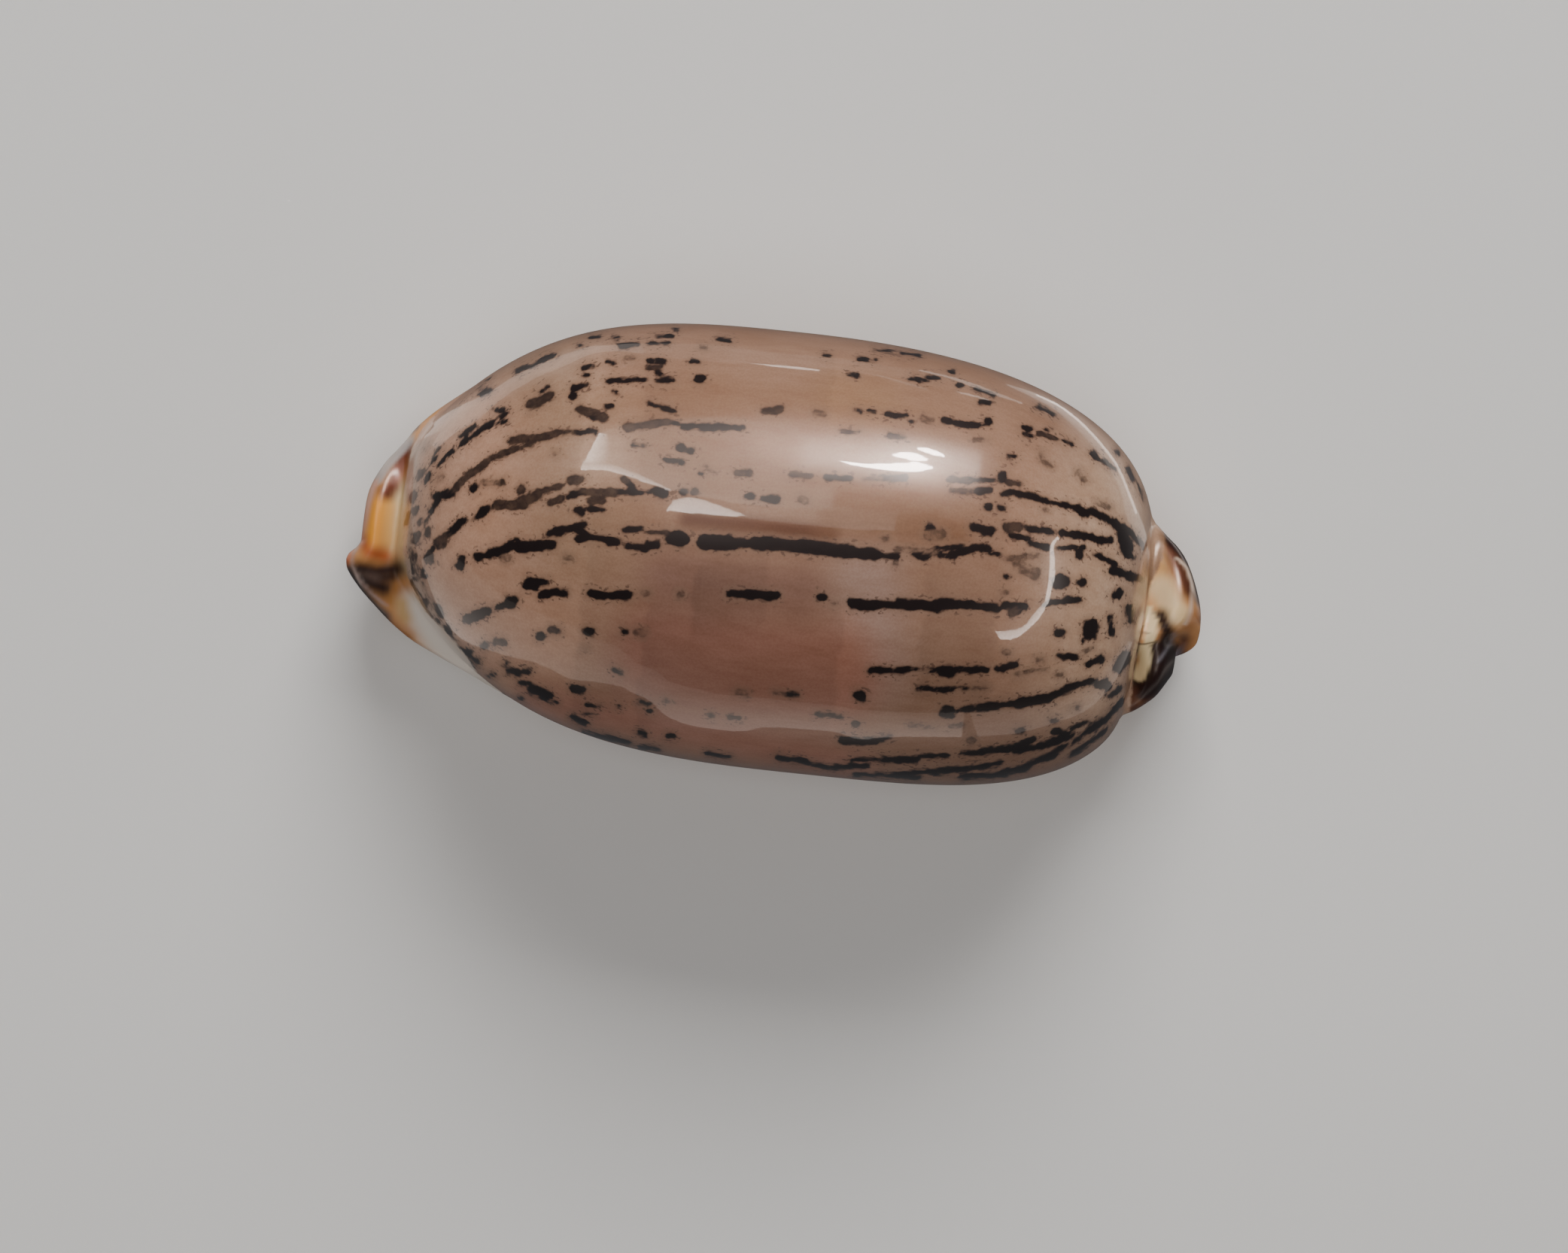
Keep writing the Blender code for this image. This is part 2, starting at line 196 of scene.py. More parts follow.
def lipRounding(x):
    # radius of the lips' rounded edges, smaller at both ends
    atEnds = smoothStep(12, 15.5, np.abs(x))
    return shell["lipRounding"] + (shell["lipRoundingAtEnds"] - shell["lipRounding"]) * atEnds


def quarterRadius(angle, lipSide, spireSide, up, down, powerUp, powerDown):
    # (|cos/a|^n + |sin/b|^n)^(-1/n), a superellipse with its own a, b and n in each quarter
    c = np.cos(angle)
    s = np.sin(angle)
    across = np.maximum(np.where(c > 0, lipSide, spireSide), 0.05)
    alongZ = np.maximum(np.where(s > 0, up, down), 0.05)
    power = np.where(s > 0, powerUp, powerDown)
    return (np.abs(c / across) ** power + np.abs(s / alongZ) ** power) ** (-1 / power)


def outerParts(x, angle):
    # how far the body, the collars and the callus over the spire reach from the middle line
    across, up = middleLine(x)
    base = baseHeight(x)

    def section(extents, powers, lift):
        lipSide, spireSide, top = extents
        return quarterRadius(angle, lipSide - across, spireSide + across, top - up, up - base - lift, *powers)

    body = section(bodyExtents(x), shell["bodyPowers"], 0)
    lift = shell["collarLift"] * smoothStep(14.5, 12.0, np.abs(x))
    collar = section(collarExtents(x), shell["collarPowers"], lift)
    dip = valley["depth"] * smoothStep(valley["starts"], valley["full"], x)
    dip = dip * np.exp(-(((angle - valley["angle"]) / valley["spread"]) ** 2))
    spread = callusLump["spread"]
    along = ((x - callusLump["x"]) / spread) ** 2
    callus = callusLump["height"] * np.exp(-along - ((angle - callusLump["angle"]) / spread) ** 2)
    return body, collar - dip, callus


def outerRadius(x, angle):
    # the outside round the middle line: the body and the collars, run together
    body, collar, callus = outerParts(x, angle)
    return softMax(body, collar, np.where(x < 0, *shell["blends"])) + callus


def innerExtents(x):
    # middle across and up, then reach to the side, up and down, of the hollow
    middleAcross = shell["hollowAcross"]
    middleUp = shell["middleHeight"] + shell["hollowMiddleRise"]
    wide = shell["lipSideHalfWidth"] - shell["wall"] - middleAcross
    blend = shell["hollowBlend"]
    hollow = oval(x, *shell["hollowOval"])
    atEnds = smoothStep(8.5, 14.5, np.abs(x))
    across = middleAcross + (slitLine(x) - middleAcross) * atEnds
    up = middleUp + (np.where(x < 0, *shell["hollowMiddleAtEnds"]) - middleUp) * atEnds
    roof = np.where(x < 0, *shell["hollowRoofAtEnds"])
    top = softMax(roof - up, (shell["height"] - shell["wall"] - middleUp) * hollow, blend)
    half = softMax(slitHalfWidth(x), wide * hollow, blend)
    return across, up, half, top, np.maximum(up - shell["floorThickness"], shell["leastDepth"])


def toothWave(x):
    # 1 on the crests of the teeth, 0 in the gaps between them, and 1 beyond the last tooth
    turns = np.clip((x - shell["teethFront"]) / toothPitch, 0, shell["teeth"])
    return 0.5 + 0.5 * np.cos(2 * np.pi * turns)


def endReach(x, angle):
    # slides the rows of points along the shell so that each lobe of the collars ends in its place
    def slide(lobe, end):
        reach, low, high, start = shell[lobe]
        return reach * smoothStep(start, end, x) * smoothStep(low, high, angle)

    return x + slide("frontLobe", -halfLength) - slide("backLobe", halfLength)


def lipRows(x, side, startY, startZ, wallTopZ):
    # one lip of the slit: a quarter turn from the base, then straight up the wall inside
    tooth = shell["toothDepth"] * (toothWave(x)[:, None] - 1)
    rounding = lipRounding(x)[:, None]
    edgeY = (slitLine(x) + side * slitHalfWidth(x))[:, None]
    turn = np.linspace(0, np.pi / 2, shell["curlRows"] + 1)[None, 1:]
    curlY = edgeY + (startY - edgeY) * (1 - np.sin(turn)) - side * tooth * np.sin(turn)
    curlZ = startZ + rounding * (1 - np.cos(turn)) - tooth * np.cos(turn)
    climb = np.linspace(0, 1, shell["wallRows"] + 1)[None, 1:]
    footZ = startZ + rounding
    wallY = edgeY - side * tooth * (1 - smoothStep(0.3, 1.0, climb))
    wallZ = footZ + (np.maximum(wallTopZ, footZ + 0.3) - footZ) * climb
    return np.hstack([curlY, wallY]), np.hstack([curlZ, wallZ])


def roundAngles(start, end, rows):
    # angles from one lip to the other, closer together over the back, where the streaks are
    share = np.linspace(0, 1, rows + 1)
    crowded = share + shell["crowdingOverBack"] * np.sin(2 * np.pi * share)
    return start[:, None] + (end - start)[:, None] * crowded[None, :], share[None, :]


def outerRows(x):
    # the outside of every section, from inside the slit on the spire side to inside it on the lip side
    across, up = middleLine(x)
    base = baseHeight(x)
    inAcross, inUp, half, _, inDown = innerExtents(x)
    reach = slitHalfWidth(x) + lipRounding(x)
    slit = slitLine(x)
    lipAngle = np.arctan2(base - up, slit + reach - across)
    spireAngle = np.arctan2(base - up, slit - reach - across) + 2 * np.pi
    angle, share = roundAngles(spireAngle, lipAngle, shell["roundRows"])
    radius = outerRadius(x[:, None], angle)
    y = across[:, None] + radius * np.cos(angle)
    z = up[:, None] + radius * np.sin(angle)
    plainZ = z
    wave = toothWave(x)[:, None] - 1
    lipGap = np.abs(y - (slit + reach)[:, None])
    spireGap = np.abs(y - (slit - reach)[:, None])
    underneath = smoothStep(up[:, None] - 1.5, base[:, None], z)
    onLip = smoothStep(shell["lipToothLength"], 0.0, lipGap) * (share > 0.5)
    onSpire = smoothStep(shell["spireToothLength"], 0.0, spireGap) * (share < 0.5)
    z = z - shell["toothDepth"] * wave * underneath * (onLip + onSpire)
    wallTops = []
    power = shell["hollowPowers"][1]
    for side in (-1, 1):
        offset = np.clip(side * (slit + side * slitHalfWidth(x) - inAcross) / half, 0, 1)
        wallTops.append((inUp - inDown * (1 - offset**power) ** (1 / power))[:, None])
    spireY, spireZ = lipRows(x, -1, y[:, :1], plainZ[:, :1], wallTops[0])
    lipY, lipZ = lipRows(x, 1, y[:, -1:], plainZ[:, -1:], wallTops[1])
    y = np.hstack([spireY[:, ::-1], y, lipY])
    z = np.hstack([spireZ[:, ::-1], z, lipZ])
    extra = shell["curlRows"] + shell["wallRows"]
    angle = np.pad(angle, ((0, 0), (extra, extra)), mode="edge")
    return y, z, angle


def innerRows(x, y, z):
    # the wall of the hollow, from the top of one lip over to the top of the other
    across, up, half, top, down = innerExtents(x)
    start = np.arctan2(z[:, 0] - up, y[:, 0] - across)
    start = np.where(start < 0, start + 2 * np.pi, start)
    end = np.arctan2(z[:, -1] - up, y[:, -1] - across)
    share = np.linspace(0, 1, shell["roundRows"] + 1)[None, :]
    angle = start[:, None] + (end - start)[:, None] * share
    extents = [v[:, None] for v in (half, half, top, down)]
    radius = quarterRadius(angle, *extents, *shell["hollowPowers"])
    innerY = across[:, None] + radius * np.cos(angle)
    innerZ = up[:, None] + radius * np.sin(angle)
    pull = np.clip(1 - np.minimum(share, 1 - share) * 12, 0, 1)
    first = share < 0.5
    edgeY = np.where(first, y[:, :1], y[:, -1:])
    edgeZ = np.where(first, z[:, :1], z[:, -1:])
    return innerY + (edgeY - innerY) * pull, innerZ + (edgeZ - innerZ) * pull


def stationPlaces():
    # places of the rings along the shell, closer at the rounded ends and the collars
    ends = shell["rimReach"] * (1 - np.cos(np.linspace(0, np.pi / 2, shell["rimRings"])))
    between = shell["stations"] - 2 * len(ends)
    t = np.linspace(-1, 1, between + 2)[1:-1]
    inside = (halfLength - shell["rimReach"]) * (t + shell["crowding"] * t * (t * t - 1))
    return np.concatenate([-halfLength + ends, inside, halfLength - ends[::-1]])


def shellRows(x):
    # outer and inner points of the whole shell: two arrays of (station, row, xyz), and the angles
    lip = shell["curlRows"] + shell["wallRows"]
    y, z, angle = outerRows(x)
    innerY, innerZ = innerRows(x, y, z)
    along = endReach(x[:, None], angle)
    outer = np.stack([along, y, np.maximum(z, 0.0)], -1)
    inner = np.stack([along[:, lip:-lip], innerY, innerZ], -1)
    # at both ends the outside and the inside close round to meet in the middle of the wall
    toEnd = np.minimum(np.minimum(x + halfLength, halfLength - x) / shell["rimRounding"], 1)
    flat = shell["rimFlatShare"]
    closing = (flat + (1 - flat) * np.sqrt(1 - (1 - toEnd) ** 2))[:, None, None]
    middle = (outer[:, lip:-lip] + inner) / 2
    lipsToo = np.pad(middle, ((0, 0), (lip, lip), (0, 0)), mode="edge")
    return lipsToo + (outer - lipsToo) * closing, middle + (inner - middle) * closing, angle


def gridFaces(index):
    # four corners of every cell of a grid of point numbers
    a, b = index[:-1, :-1], index[:-1, 1:]
    c, d = index[1:, 1:], index[1:, :-1]
    return np.stack([a, b, c, d], -1).reshape(-1, 4)


def skin(innerIndex, outerIndex, lip, step):
    # faces of the outside, the inside and the strips that close the two ends
    outside = gridFaces(outerIndex)
    inside = gridFaces(innerIndex)[:, ::-1]
    caps = []
    last = innerIndex.shape[1] - 1
    for end, turned in ((0, True), (-1, False)):
        ring, within = outerIndex[end], innerIndex[end]
        for j in range(last):
            start = 0 if j == 0 else lip + j * step
            stop = len(ring) if j == last - 1 else lip + (j + 1) * step + 1
            corners = [*ring[start:stop].tolist(), int(within[j + 1]), int(within[j])]
            corners = list(dict.fromkeys(corners))
            caps.append(corners[::-1] if turned else corners)
    return outside.tolist() + inside.tolist() + caps


x = stationPlaces()
outer, inner, angle = shellRows(x)
lipCount = shell["curlRows"] + shell["wallRows"]
step = shell["rowsPerInnerRow"]
inner = inner[:, ::step]
centre = np.array([0.0, (shell["lipSideHalfWidth"] - shell["spireSideHalfWidth"]) / 2, 0.0])
outerIndex = np.arange(outer.shape[0] * outer.shape[1]).reshape(outer.shape[:2])
rings, across = inner.shape[:2]
innerIndex = outerIndex.size + np.arange(rings * (across - 2)).reshape(rings, -1)
innerIndex = np.hstack([outerIndex[:, :1], innerIndex, outerIndex[:, -1:]])
points = np.concatenate([outer.reshape(-1, 3), inner[:, 1:-1].reshape(-1, 3)]) - centre
faces = skin(innerIndex, outerIndex, lipCount, step)
mesh = bpy.data.meshes.new("cowrie")
mesh.from_pydata((points * mm).tolist(), [], faces)
mesh.shade_smooth()
mesh.validate()
cowrie = bpy.data.objects.new("cowrie", mesh)
scene.collection.objects.link(cowrie)
triangles = sum(len(f.vertices) - 2 for f in mesh.polygons)
print("shell built:", len(mesh.vertices), "points,", triangles, "triangles")


# Where the photograph was taken from: straight above, turned a little, a short telephoto away.
# Marks are given in millimetres as seen from there, at the scale of the shell's widest line.
view = {
    "lens": 90.0,
    "sensor": 36.0,
    "frameWidth": 61.72,
    "aimX": 0.582,
    "aimY": -2.702,
    "roll": 6.0,
}
view["distance"] = view["frameWidth"] * view["lens"] / view["sensor"]
view["height"] = view["distance"] + shell["middleHeight"]


def asSeen(p):
    # where each point of the shell is seen from above, at the scale of the widest line
    scale = view["distance"] / (view["height"] - p[..., 2])
    seenX = view["aimX"] + (p[..., 0] - view["aimX"]) * scale
    seenY = view["aimY"] + (p[..., 1] - view["aimY"]) * scale
    return seenX, seenY


# Streaks on the back, in hundredths of a millimetre: x and y of the start, how far the streak runs
# along x and y, and its width. A sixth number says how dark it is, where it isn't the blackest.
# Read off the photograph, one region after another.
dark, grey, faint = 1.0, 0.86, 0.55
streaks = [
    # front, outer lip's side
    (-1450, 325, 60, 75, 10), (-1390, 400, 90, 100, 10), (-1300, 500, 100, 80, 10),
    (-1225, 515, 35, 20, 15), (-1090, 620, 140, 80, 12), (-1160, 462, 35, 3, 20), (-1130, 435, 15, 15, 15),
    (-1135, 410, 20, 10, 15), (-1235, 350, 65, 60, 13), (-1285, 345, 50, 45, 15), (-1280, 310, 20, 20, 15),
    (-1325, 265, 15, 15, 12), (-1360, 220, 20, 25, 12), (-1385, 230, 10, 20, 10), (-1410, 145, 20, 35, 15),
    (-1435, 160, 15, 30, 20, grey), (-1490, 145, 0, 25, 20, grey), (-1505, 100, 0, 20, 15),
    (-1450, 70, 5, 25, 20, grey), (-1438, 20, 8, 20, 22, grey), (-1430, 280, 10, 25, 20, faint),
    (-1370, 275, 5, 15, 12, grey), (-1491, 0, 1, 15, 12, faint), (-990, 550, 25, 25, 15),
    (-1030, 490, 80, 45, 35, grey), (-865, 575, 5, 1, 20), (-865, 545, 5, 1, 20), (-1375, 35, 30, 55, 22),
    (-1360, 95, 60, 20, 30), (-1300, 120, 60, 75, 26, grey), (-1240, 195, 40, 30, 26, grey),
    (-1200, 225, 50, 45, 26, grey), (-1150, 270, 50, 30, 24, grey), (-1100, 300, 100, 45, 22, grey),
    (-1090, 345, 90, 20, 33, grey), (-1000, 365, 90, 25, 30, grey), (-910, 400, 60, 5, 12, grey),
    (-1350, 170, 5, 2, 12, faint), (-1215, 135, 5, 15, 18), (-1180, 170, 80, 5, 12, faint),
    (-1110, 175, 10, 0, 20, grey), (-1030, 150, 5, 15, 20, grey), (-1110, 90, 100, 10, 42, grey),
    (-1020, 115, 60, 25, 33, grey), (-970, 150, 90, 35, 22, grey), (-900, 120, 30, 15, 30, grey),
    (-1185, 35, 30, 35, 28), (-910, 310, 5, 0, 18, faint),
    # front, spire side
    (-1285, -40, 45, 55, 28), (-1330, -85, 30, 35, 33, grey), (-1375, -150, 35, 50, 10),
    (-1360, -130, 15, -30, 18, grey), (-1235, -165, 5, 25, 28), (-1165, -125, 130, 60, 36),
    (-1040, -45, 20, 3, 14), (-1070, -115, 20, 0, 20, faint), (-1015, -70, 130, 25, 42),
    (-900, -5, 50, 10, 25), (-960, -190, 70, -5, 22), (-965, -215, 30, 0, 33), (-900, -245, 50, 15, 28),
    (-1025, -290, 10, 5, 46), (-1070, -310, 40, 10, 18), (-1185, -370, 70, 35, 40), (-895, -410, 5, 5, 28),
    (-1060, -450, 25, 0, 33, grey), (-1110, -465, 5, -5, 20), (-1185, -495, 20, -15, 23),
    (-1140, -530, 15, -10, 12), (-1265, -410, 15, -20, 18), (-1305, -340, 15, -30, 16),
    (-1385, -195, 15, -25, 12), (-1420, -285, 5, 45, 13, grey), (-1420, -180, 5, 35, 10, grey),
    (-1465, -20, 5, 35, 12, grey), (-1412, -20, 4, 20, 12, grey), (-1387, -10, 4, 18, 12, grey),
    (-1377, -60, 4, 30, 13, grey), (-1425, -60, 20, -35, 12, grey), (-1275, -420, 135, -140, 9),
    (-1430, -120, 15, -90, 8, grey), (-1410, -260, 90, -140, 8, grey), (-1315, -95, 10, 20, 30, grey),
    (-1360, -160, 10, 25, 22, grey), (-1420, -90, 8, 30, 20, grey), (-1380, -55, 4, 20, 16, grey),
    (-1360, -370, 10, 50, 10, grey), (-1310, -420, 10, 30, 10, grey), (-1180, -510, 15, 10, 24),
    (-1130, -535, 5, 5, 14), (-1390, -220, 70, -120, 7, faint), (-1015, -530, 15, -25, 22),
    (-1000, -555, 40, -7, 30), (-935, -550, 15, 0, 22), (-950, -600, 40, 0, 12), (-900, -620, 60, -20, 42),
    (-945, -660, 10, -2, 10), (-1070, -580, 10, 0, 10),
    # middle, outer lip's side
    (-860, 745, 10, 1, 12), (-820, 780, 40, 10, 8), (-700, 760, 30, 5, 18), (-660, 770, 30, 5, 10),
    (-730, 785, 25, 5, 8), (-590, 785, 30, 0, 10), (-565, 810, 15, 2, 10), (-535, 815, 35, 5, 8),
    (-495, 845, 15, 0, 7), (-535, 790, 25, 5, 8), (-320, 827, 50, 0, 12), (-380, 790, 20, 0, 10, faint),
    (-415, 730, 30, 0, 10), (-670, 715, 30, 0, 12, faint), (-740, 695, 25, -5, 12), (-830, 660, 30, 15, 15),
    (-830, 630, 20, 5, 12), (-840, 585, 30, 10, 12), (-580, 715, 10, 0, 26), (-540, 715, 10, 0, 26),
    (-580, 690, 50, 5, 15, grey), (-545, 672, 10, 0, 15), (-725, 615, 40, 10, 18), (-665, 625, 55, 15, 12),
    (-595, 640, 10, 0, 16), (-545, 640, 65, 5, 18), (-705, 580, 10, 0, 25), (-380, 665, 15, 0, 33),
    (-110, 565, 70, 10, 25, grey), (-560, 545, 25, -5, 16), (-530, 540, 70, -10, 14),
    (-730, 515, 20, 10, 15), (-830, 495, 95, -20, 36, grey), (-810, 495, 40, -25, 20),
    (-780, 420, 20, -5, 20), (-830, 405, 40, 5, 10), (-640, 445, 165, 35, 30, grey), (-470, 480, 30, 0, 10),
    (-425, 470, 10, 0, 15), (-395, 475, 45, 5, 22), (-340, 475, 50, 5, 33), (-290, 485, 100, 5, 25),
    (-610, 375, 45, 3, 12), (-425, 385, 10, 0, 20), (-385, 377, 10, 0, 20), (-480, 335, 40, -5, 15),
    (-415, 330, 10, 0, 23), (-335, 295, 10, 0, 17), (-320, 330, 40, -30, 8, faint),
    (-190, 310, 50, 5, 23, grey), (-830, 215, 40, 10, 33, grey), (-630, 240, 20, -10, 20, grey),
    (-610, 230, 20, -35, 26), (-840, 150, 50, 20, 28), (-790, 175, 130, 10, 33, grey),
    (-750, 145, 40, 5, 36, grey), (-640, 190, 55, 5, 28), (-580, 195, 70, 5, 12), (-500, 205, 35, -5, 36),
    (-750, 110, 50, 0, 20), (-795, 95, 10, 0, 33), (-395, 215, 10, 0, 20), (-355, 220, 10, 0, 28, grey),
    (-145, 225, 25, 0, 20), (-80, 220, 60, 5, 26), (-610, 40, 70, 15, 22), (-520, 45, 80, 3, 14, grey),
    (-405, 30, 25, 0, 62), (-890, 5, 90, 30, 24), (-800, 35, 30, 10, 28), (-285, 28, 105, 7, 60),
    (-180, 45, 90, -5, 38), (-90, 45, 90, 3, 52),
    # middle, spire side
    (-785, 30, 25, -20, 33), (-780, -10, 35, 10, 33), (-740, 0, 60, 2, 20), (-670, -5, 35, -5, 30),
    (-825, -90, 10, 0, 20, faint), (-585, -20, 65, 0, 28), (-500, -10, 25, 5, 33),
    (-170, -162, 185, 12, 33), (-825, -230, 10, 0, 33), (-710, -220, 50, -5, 33), (-650, -220, 30, 0, 20),
    (-620, -220, 55, 10, 33), (-505, -200, 10, 0, 18, faint), (-365, -185, 10, 0, 17, faint),
    (-705, -372, 10, 0, 36), (-850, -380, 20, 0, 36, grey), (-715, -440, 10, 0, 12, faint),
    (-570, -357, 10, 0, 22), (-515, -355, 20, 0, 28, faint), (-590, -510, 35, -10, 22),
    (-740, -600, 40, 0, 28), (-820, -660, 20, -2, 8), (-680, -655, 50, -5, 10), (-565, -650, 10, 0, 12),
    (-475, -620, 35, -10, 15), (-435, -655, 10, 0, 12), (-380, -610, 10, 0, 15, grey),
    (-730, -710, 50, -20, 20), (-690, -695, 40, 5, 8), (-465, -745, 25, -5, 13), (-350, -745, 20, 0, 16),
    (-680, -770, 180, -20, 12), (-460, -800, 80, -5, 8), (-190, -800, 90, -5, 10),
    (-195, -650, 10, 0, 15, grey), (-120, -650, 40, 0, 10, grey), (-100, -547, 40, -3, 18, faint),
    # towards the spire, outer lip's side
    (100, 810, 25, 0, 8), (240, 807, 70, 3, 8), (300, 850, 70, 0, 5), (400, 847, 80, 0, 5),
    (605, 795, 10, 0, 10), (205, 750, 35, -5, 12), (450, 750, 70, 5, 13), (510, 765, 50, 0, 10),
    (645, 747, 10, 0, 12), (710, 740, 80, -20, 10), (730, 690, 40, 0, 10), (250, 607, 25, -2, 10),
    (300, 610, 30, -5, 10), (370, 600, 80, 5, 24), (465, 585, 10, 0, 12), (520, 600, 30, -5, 20, faint),
    (600, 605, 50, -5, 24), (650, 595, 90, 0, 21), (765, 615, 10, 0, 33), (90, 580, 40, 0, 22, faint),
    (200, 515, 70, 5, 10, grey), (390, 520, 60, 0, 24, grey), (730, 542, 50, 0, 8, faint),
    (20, 330, 80, 0, 20, grey), (165, 330, 35, 5, 20), (200, 330, 55, 5, 13), (310, 345, 90, 5, 15, faint),
    (380, 350, 90, 10, 24, grey), (650, 375, 70, 0, 24, grey), (720, 380, 100, 10, 12),
    (660, 333, 60, 2, 17, grey), (750, 340, 60, 10, 21), (70, 235, 20, -5, 20, faint),
    (585, 175, 10, 0, 33), (590, 150, 40, 0, 50, faint), (760, 200, 70, -15, 38),
    (415, 115, 10, 0, 15, faint), (0, 48, 90, 2, 52), (90, 50, 200, 0, 57), (290, 50, 100, 0, 44),
    (390, 48, 80, 2, 22), (460, 80, 160, 5, 15, faint), (540, 65, 50, -5, 28), (640, 75, 50, -5, 24),
    (690, 85, 40, 10, 24), (620, 100, 100, 15, 12), (730, 95, 50, 20, 20), (770, 115, 60, 0, 28),
    (465, 25, 10, 0, 12, faint),
    # towards the spire, spire side
    (190, -140, 10, 0, 33), (235, -160, 10, 0, 12, faint), (315, -150, 95, 0, 40), (410, -145, 90, 5, 33),
    (500, -135, 150, 5, 40), (650, -120, 70, 5, 42), (720, -110, 170, -2, 33), (420, -405, 70, 5, 20),
    (505, -400, 45, 5, 26), (550, -390, 80, 10, 12), (645, -385, 100, 10, 20), (695, -380, 30, 0, 42),
    (750, -370, 100, 15, 15), (610, -455, 130, 5, 14), (730, -445, 70, 10, 10), (380, -510, 10, 0, 38),
    (50, -535, 40, 0, 12, faint), (110, -530, 25, 0, 17), (725, -535, 20, 0, 46),
    (220, -600, 100, 0, 10, grey), (375, -625, 10, 0, 20, grey), (590, -605, 110, 0, 5, faint),
    (750, -595, 50, 15, 15, faint), (330, -690, 130, 5, 28), (460, -675, 60, 15, 12),
    (380, -765, 120, 15, 10), (500, -750, 130, 10, 26), (630, -725, 120, 15, 12), (90, -785, 100, -5, 18),
    (200, -795, 120, -10, 10), (310, -800, 130, 20, 15), (400, -820, 250, 15, 12), (550, -810, 130, 30, 15),
    (680, -780, 120, 20, 20), (815, -785, 10, 0, 20),
    # spire end, outer lip's side
    (960, 695, 70, -25, 12), (915, 607, 25, -2, 13), (920, 583, 25, -8, 17), (1000, 610, 20, -5, 10),
    (980, 590, 70, -15, 15, grey), (1070, 575, 40, -15, 6), (1195, 540, 20, -20, 18),
    (1240, 510, 45, -25, 16), (870, 490, 25, 0, 17), (990, 520, 10, -20, 10, faint),
    (1000, 485, 40, -15, 10, faint), (1145, 455, 25, -25, 17, faint), (1340, 490, 25, -40, 13),
    (1400, 425, 35, -50, 15), (1288, 550, 6, -5, 12), (850, 400, 5, 20, 26), (880, 385, 45, 0, 17, grey),
    (855, 340, 45, 10, 20), (920, 345, 80, -10, 26), (1020, 330, 80, -10, 15), (1100, 320, 60, 0, 18),
    (1150, 310, 80, -5, 26), (1170, 295, 25, 0, 24), (1230, 305, 70, -30, 28), (1300, 275, 70, -35, 33),
    (1360, 250, 75, -60, 18), (1350, 230, 20, -65, 50), (1380, 150, 15, -5, 20),
    (1235, 340, 45, -10, 17, faint), (805, 285, 10, 0, 20), (855, 285, 10, 0, 20),
    (895, 210, 40, 5, 42, grey), (910, 180, 70, -5, 25), (980, 160, 80, -15, 15), (980, 215, 90, -5, 24),
    (1110, 210, 120, -5, 30), (1245, 200, 55, 0, 26), (1100, 150, 100, 15, 10), (1180, 150, 5, -25, 20),
    (805, 120, 10, 0, 33), (840, 105, 25, -5, 17), (890, 85, 140, 25, 15, faint),
    (950, 70, 70, -30, 45, faint), (1120, 15, 10, 10, 60), (1200, 22, 10, 6, 26), (1250, 140, 80, -30, 15),
    (1320, 85, 110, -20, 33), (1465, 270, 30, -50, 15), (1470, 180, 2, 20, 13), (1466, 105, 6, 30, 24),
    (1485, 130, 10, 35, 20, grey), (1478, 0, 2, 15, 10, grey), (1400, 410, 20, -25, 16),
    (1030, 295, 8, 0, 12, faint),
    # spire end, spire side
    (905, 20, 10, 0, 22), (905, -45, 10, 0, 17, faint), (910, -100, 80, 5, 28),
    (945, -115, 15, 5, 44, grey), (1095, -65, 105, 20, 20), (1070, -80, 15, 15, 20),
    (1342, -15, 16, 17, 34), (1400, -50, 10, -55, 28), (1330, -100, 10, -60, 18), (1260, -142, -4, -30, 58),
    (1240, -200, 2, 20, 14), (1135, -180, 10, 0, 32), (1150, -275, 60, 5, 24), (1265, -295, 45, 30, 25),
    (1240, -250, 30, 20, 8, faint), (935, -280, 10, 0, 15, faint), (1070, -295, 10, 0, 15, faint),
    (1150, -345, 10, 0, 15, faint), (800, -365, 70, 10, 17), (910, -345, 30, -5, 15),
    (940, -340, 40, 15, 24), (980, -360, 120, 30, 6, faint), (800, -435, 80, 10, 8, faint),
    (790, -520, 60, 10, 28), (850, -510, 150, 35, 31), (1000, -475, 130, 35, 38), (1130, -435, 70, 40, 26),
    (1200, -390, 100, 35, 24), (1315, -365, 35, -5, 42), (1385, -295, 23, 50, 46), (1360, -410, 40, 40, 18),
    (1310, -550, 110, 130, 22), (1240, -600, 70, 70, 12), (1230, -660, 60, 50, 12),
    (1300, -600, 60, 60, 12), (1370, -570, 50, 70, 10), (1015, -580, 15, 0, 28, grey),
    (1140, -530, 20, 0, 22, grey), (1230, -470, 10, 0, 15, faint), (835, -640, 10, 0, 20, faint),
    (880, -680, 90, 20, 18), (980, -660, 100, 50, 24), (1010, -665, 110, 30, 18), (1110, -630, 100, 40, 28),
    (1160, -570, 70, -10, 24), (1230, -550, 50, 30, 12), (800, -695, 60, 10, 12), (800, -760, 100, 25, 18),
    (900, -735, 60, 20, 18), (820, -785, 160, 25, 24), (980, -750, 90, 30, 20), (1070, -710, 100, 50, 20),
    (1170, -650, 40, 30, 15),
]
streakStyle = {
    "cut": 0.6,  # a streak is looked for only this near
    "gain": 0.015,
    "thinWidth": 0.22,
    "thinGain": 0.04,  # so that the ragged edges don't eat thin streaks
    "fadesFrom": 1.2,  # above the widest line
    "fade": 0.3,
}


def inMillimetres(rows):
    # start, end, width and darkness of each streak, from its row of hundredths
    lines = []
    for x, y, run, rise, thick, *tone in rows:
        ends = (x / 100, y / 100, (x + run) / 100, (y + rise) / 100)
        lines.append((*ends, thick / 100, *(tone or [dark])))
    return lines


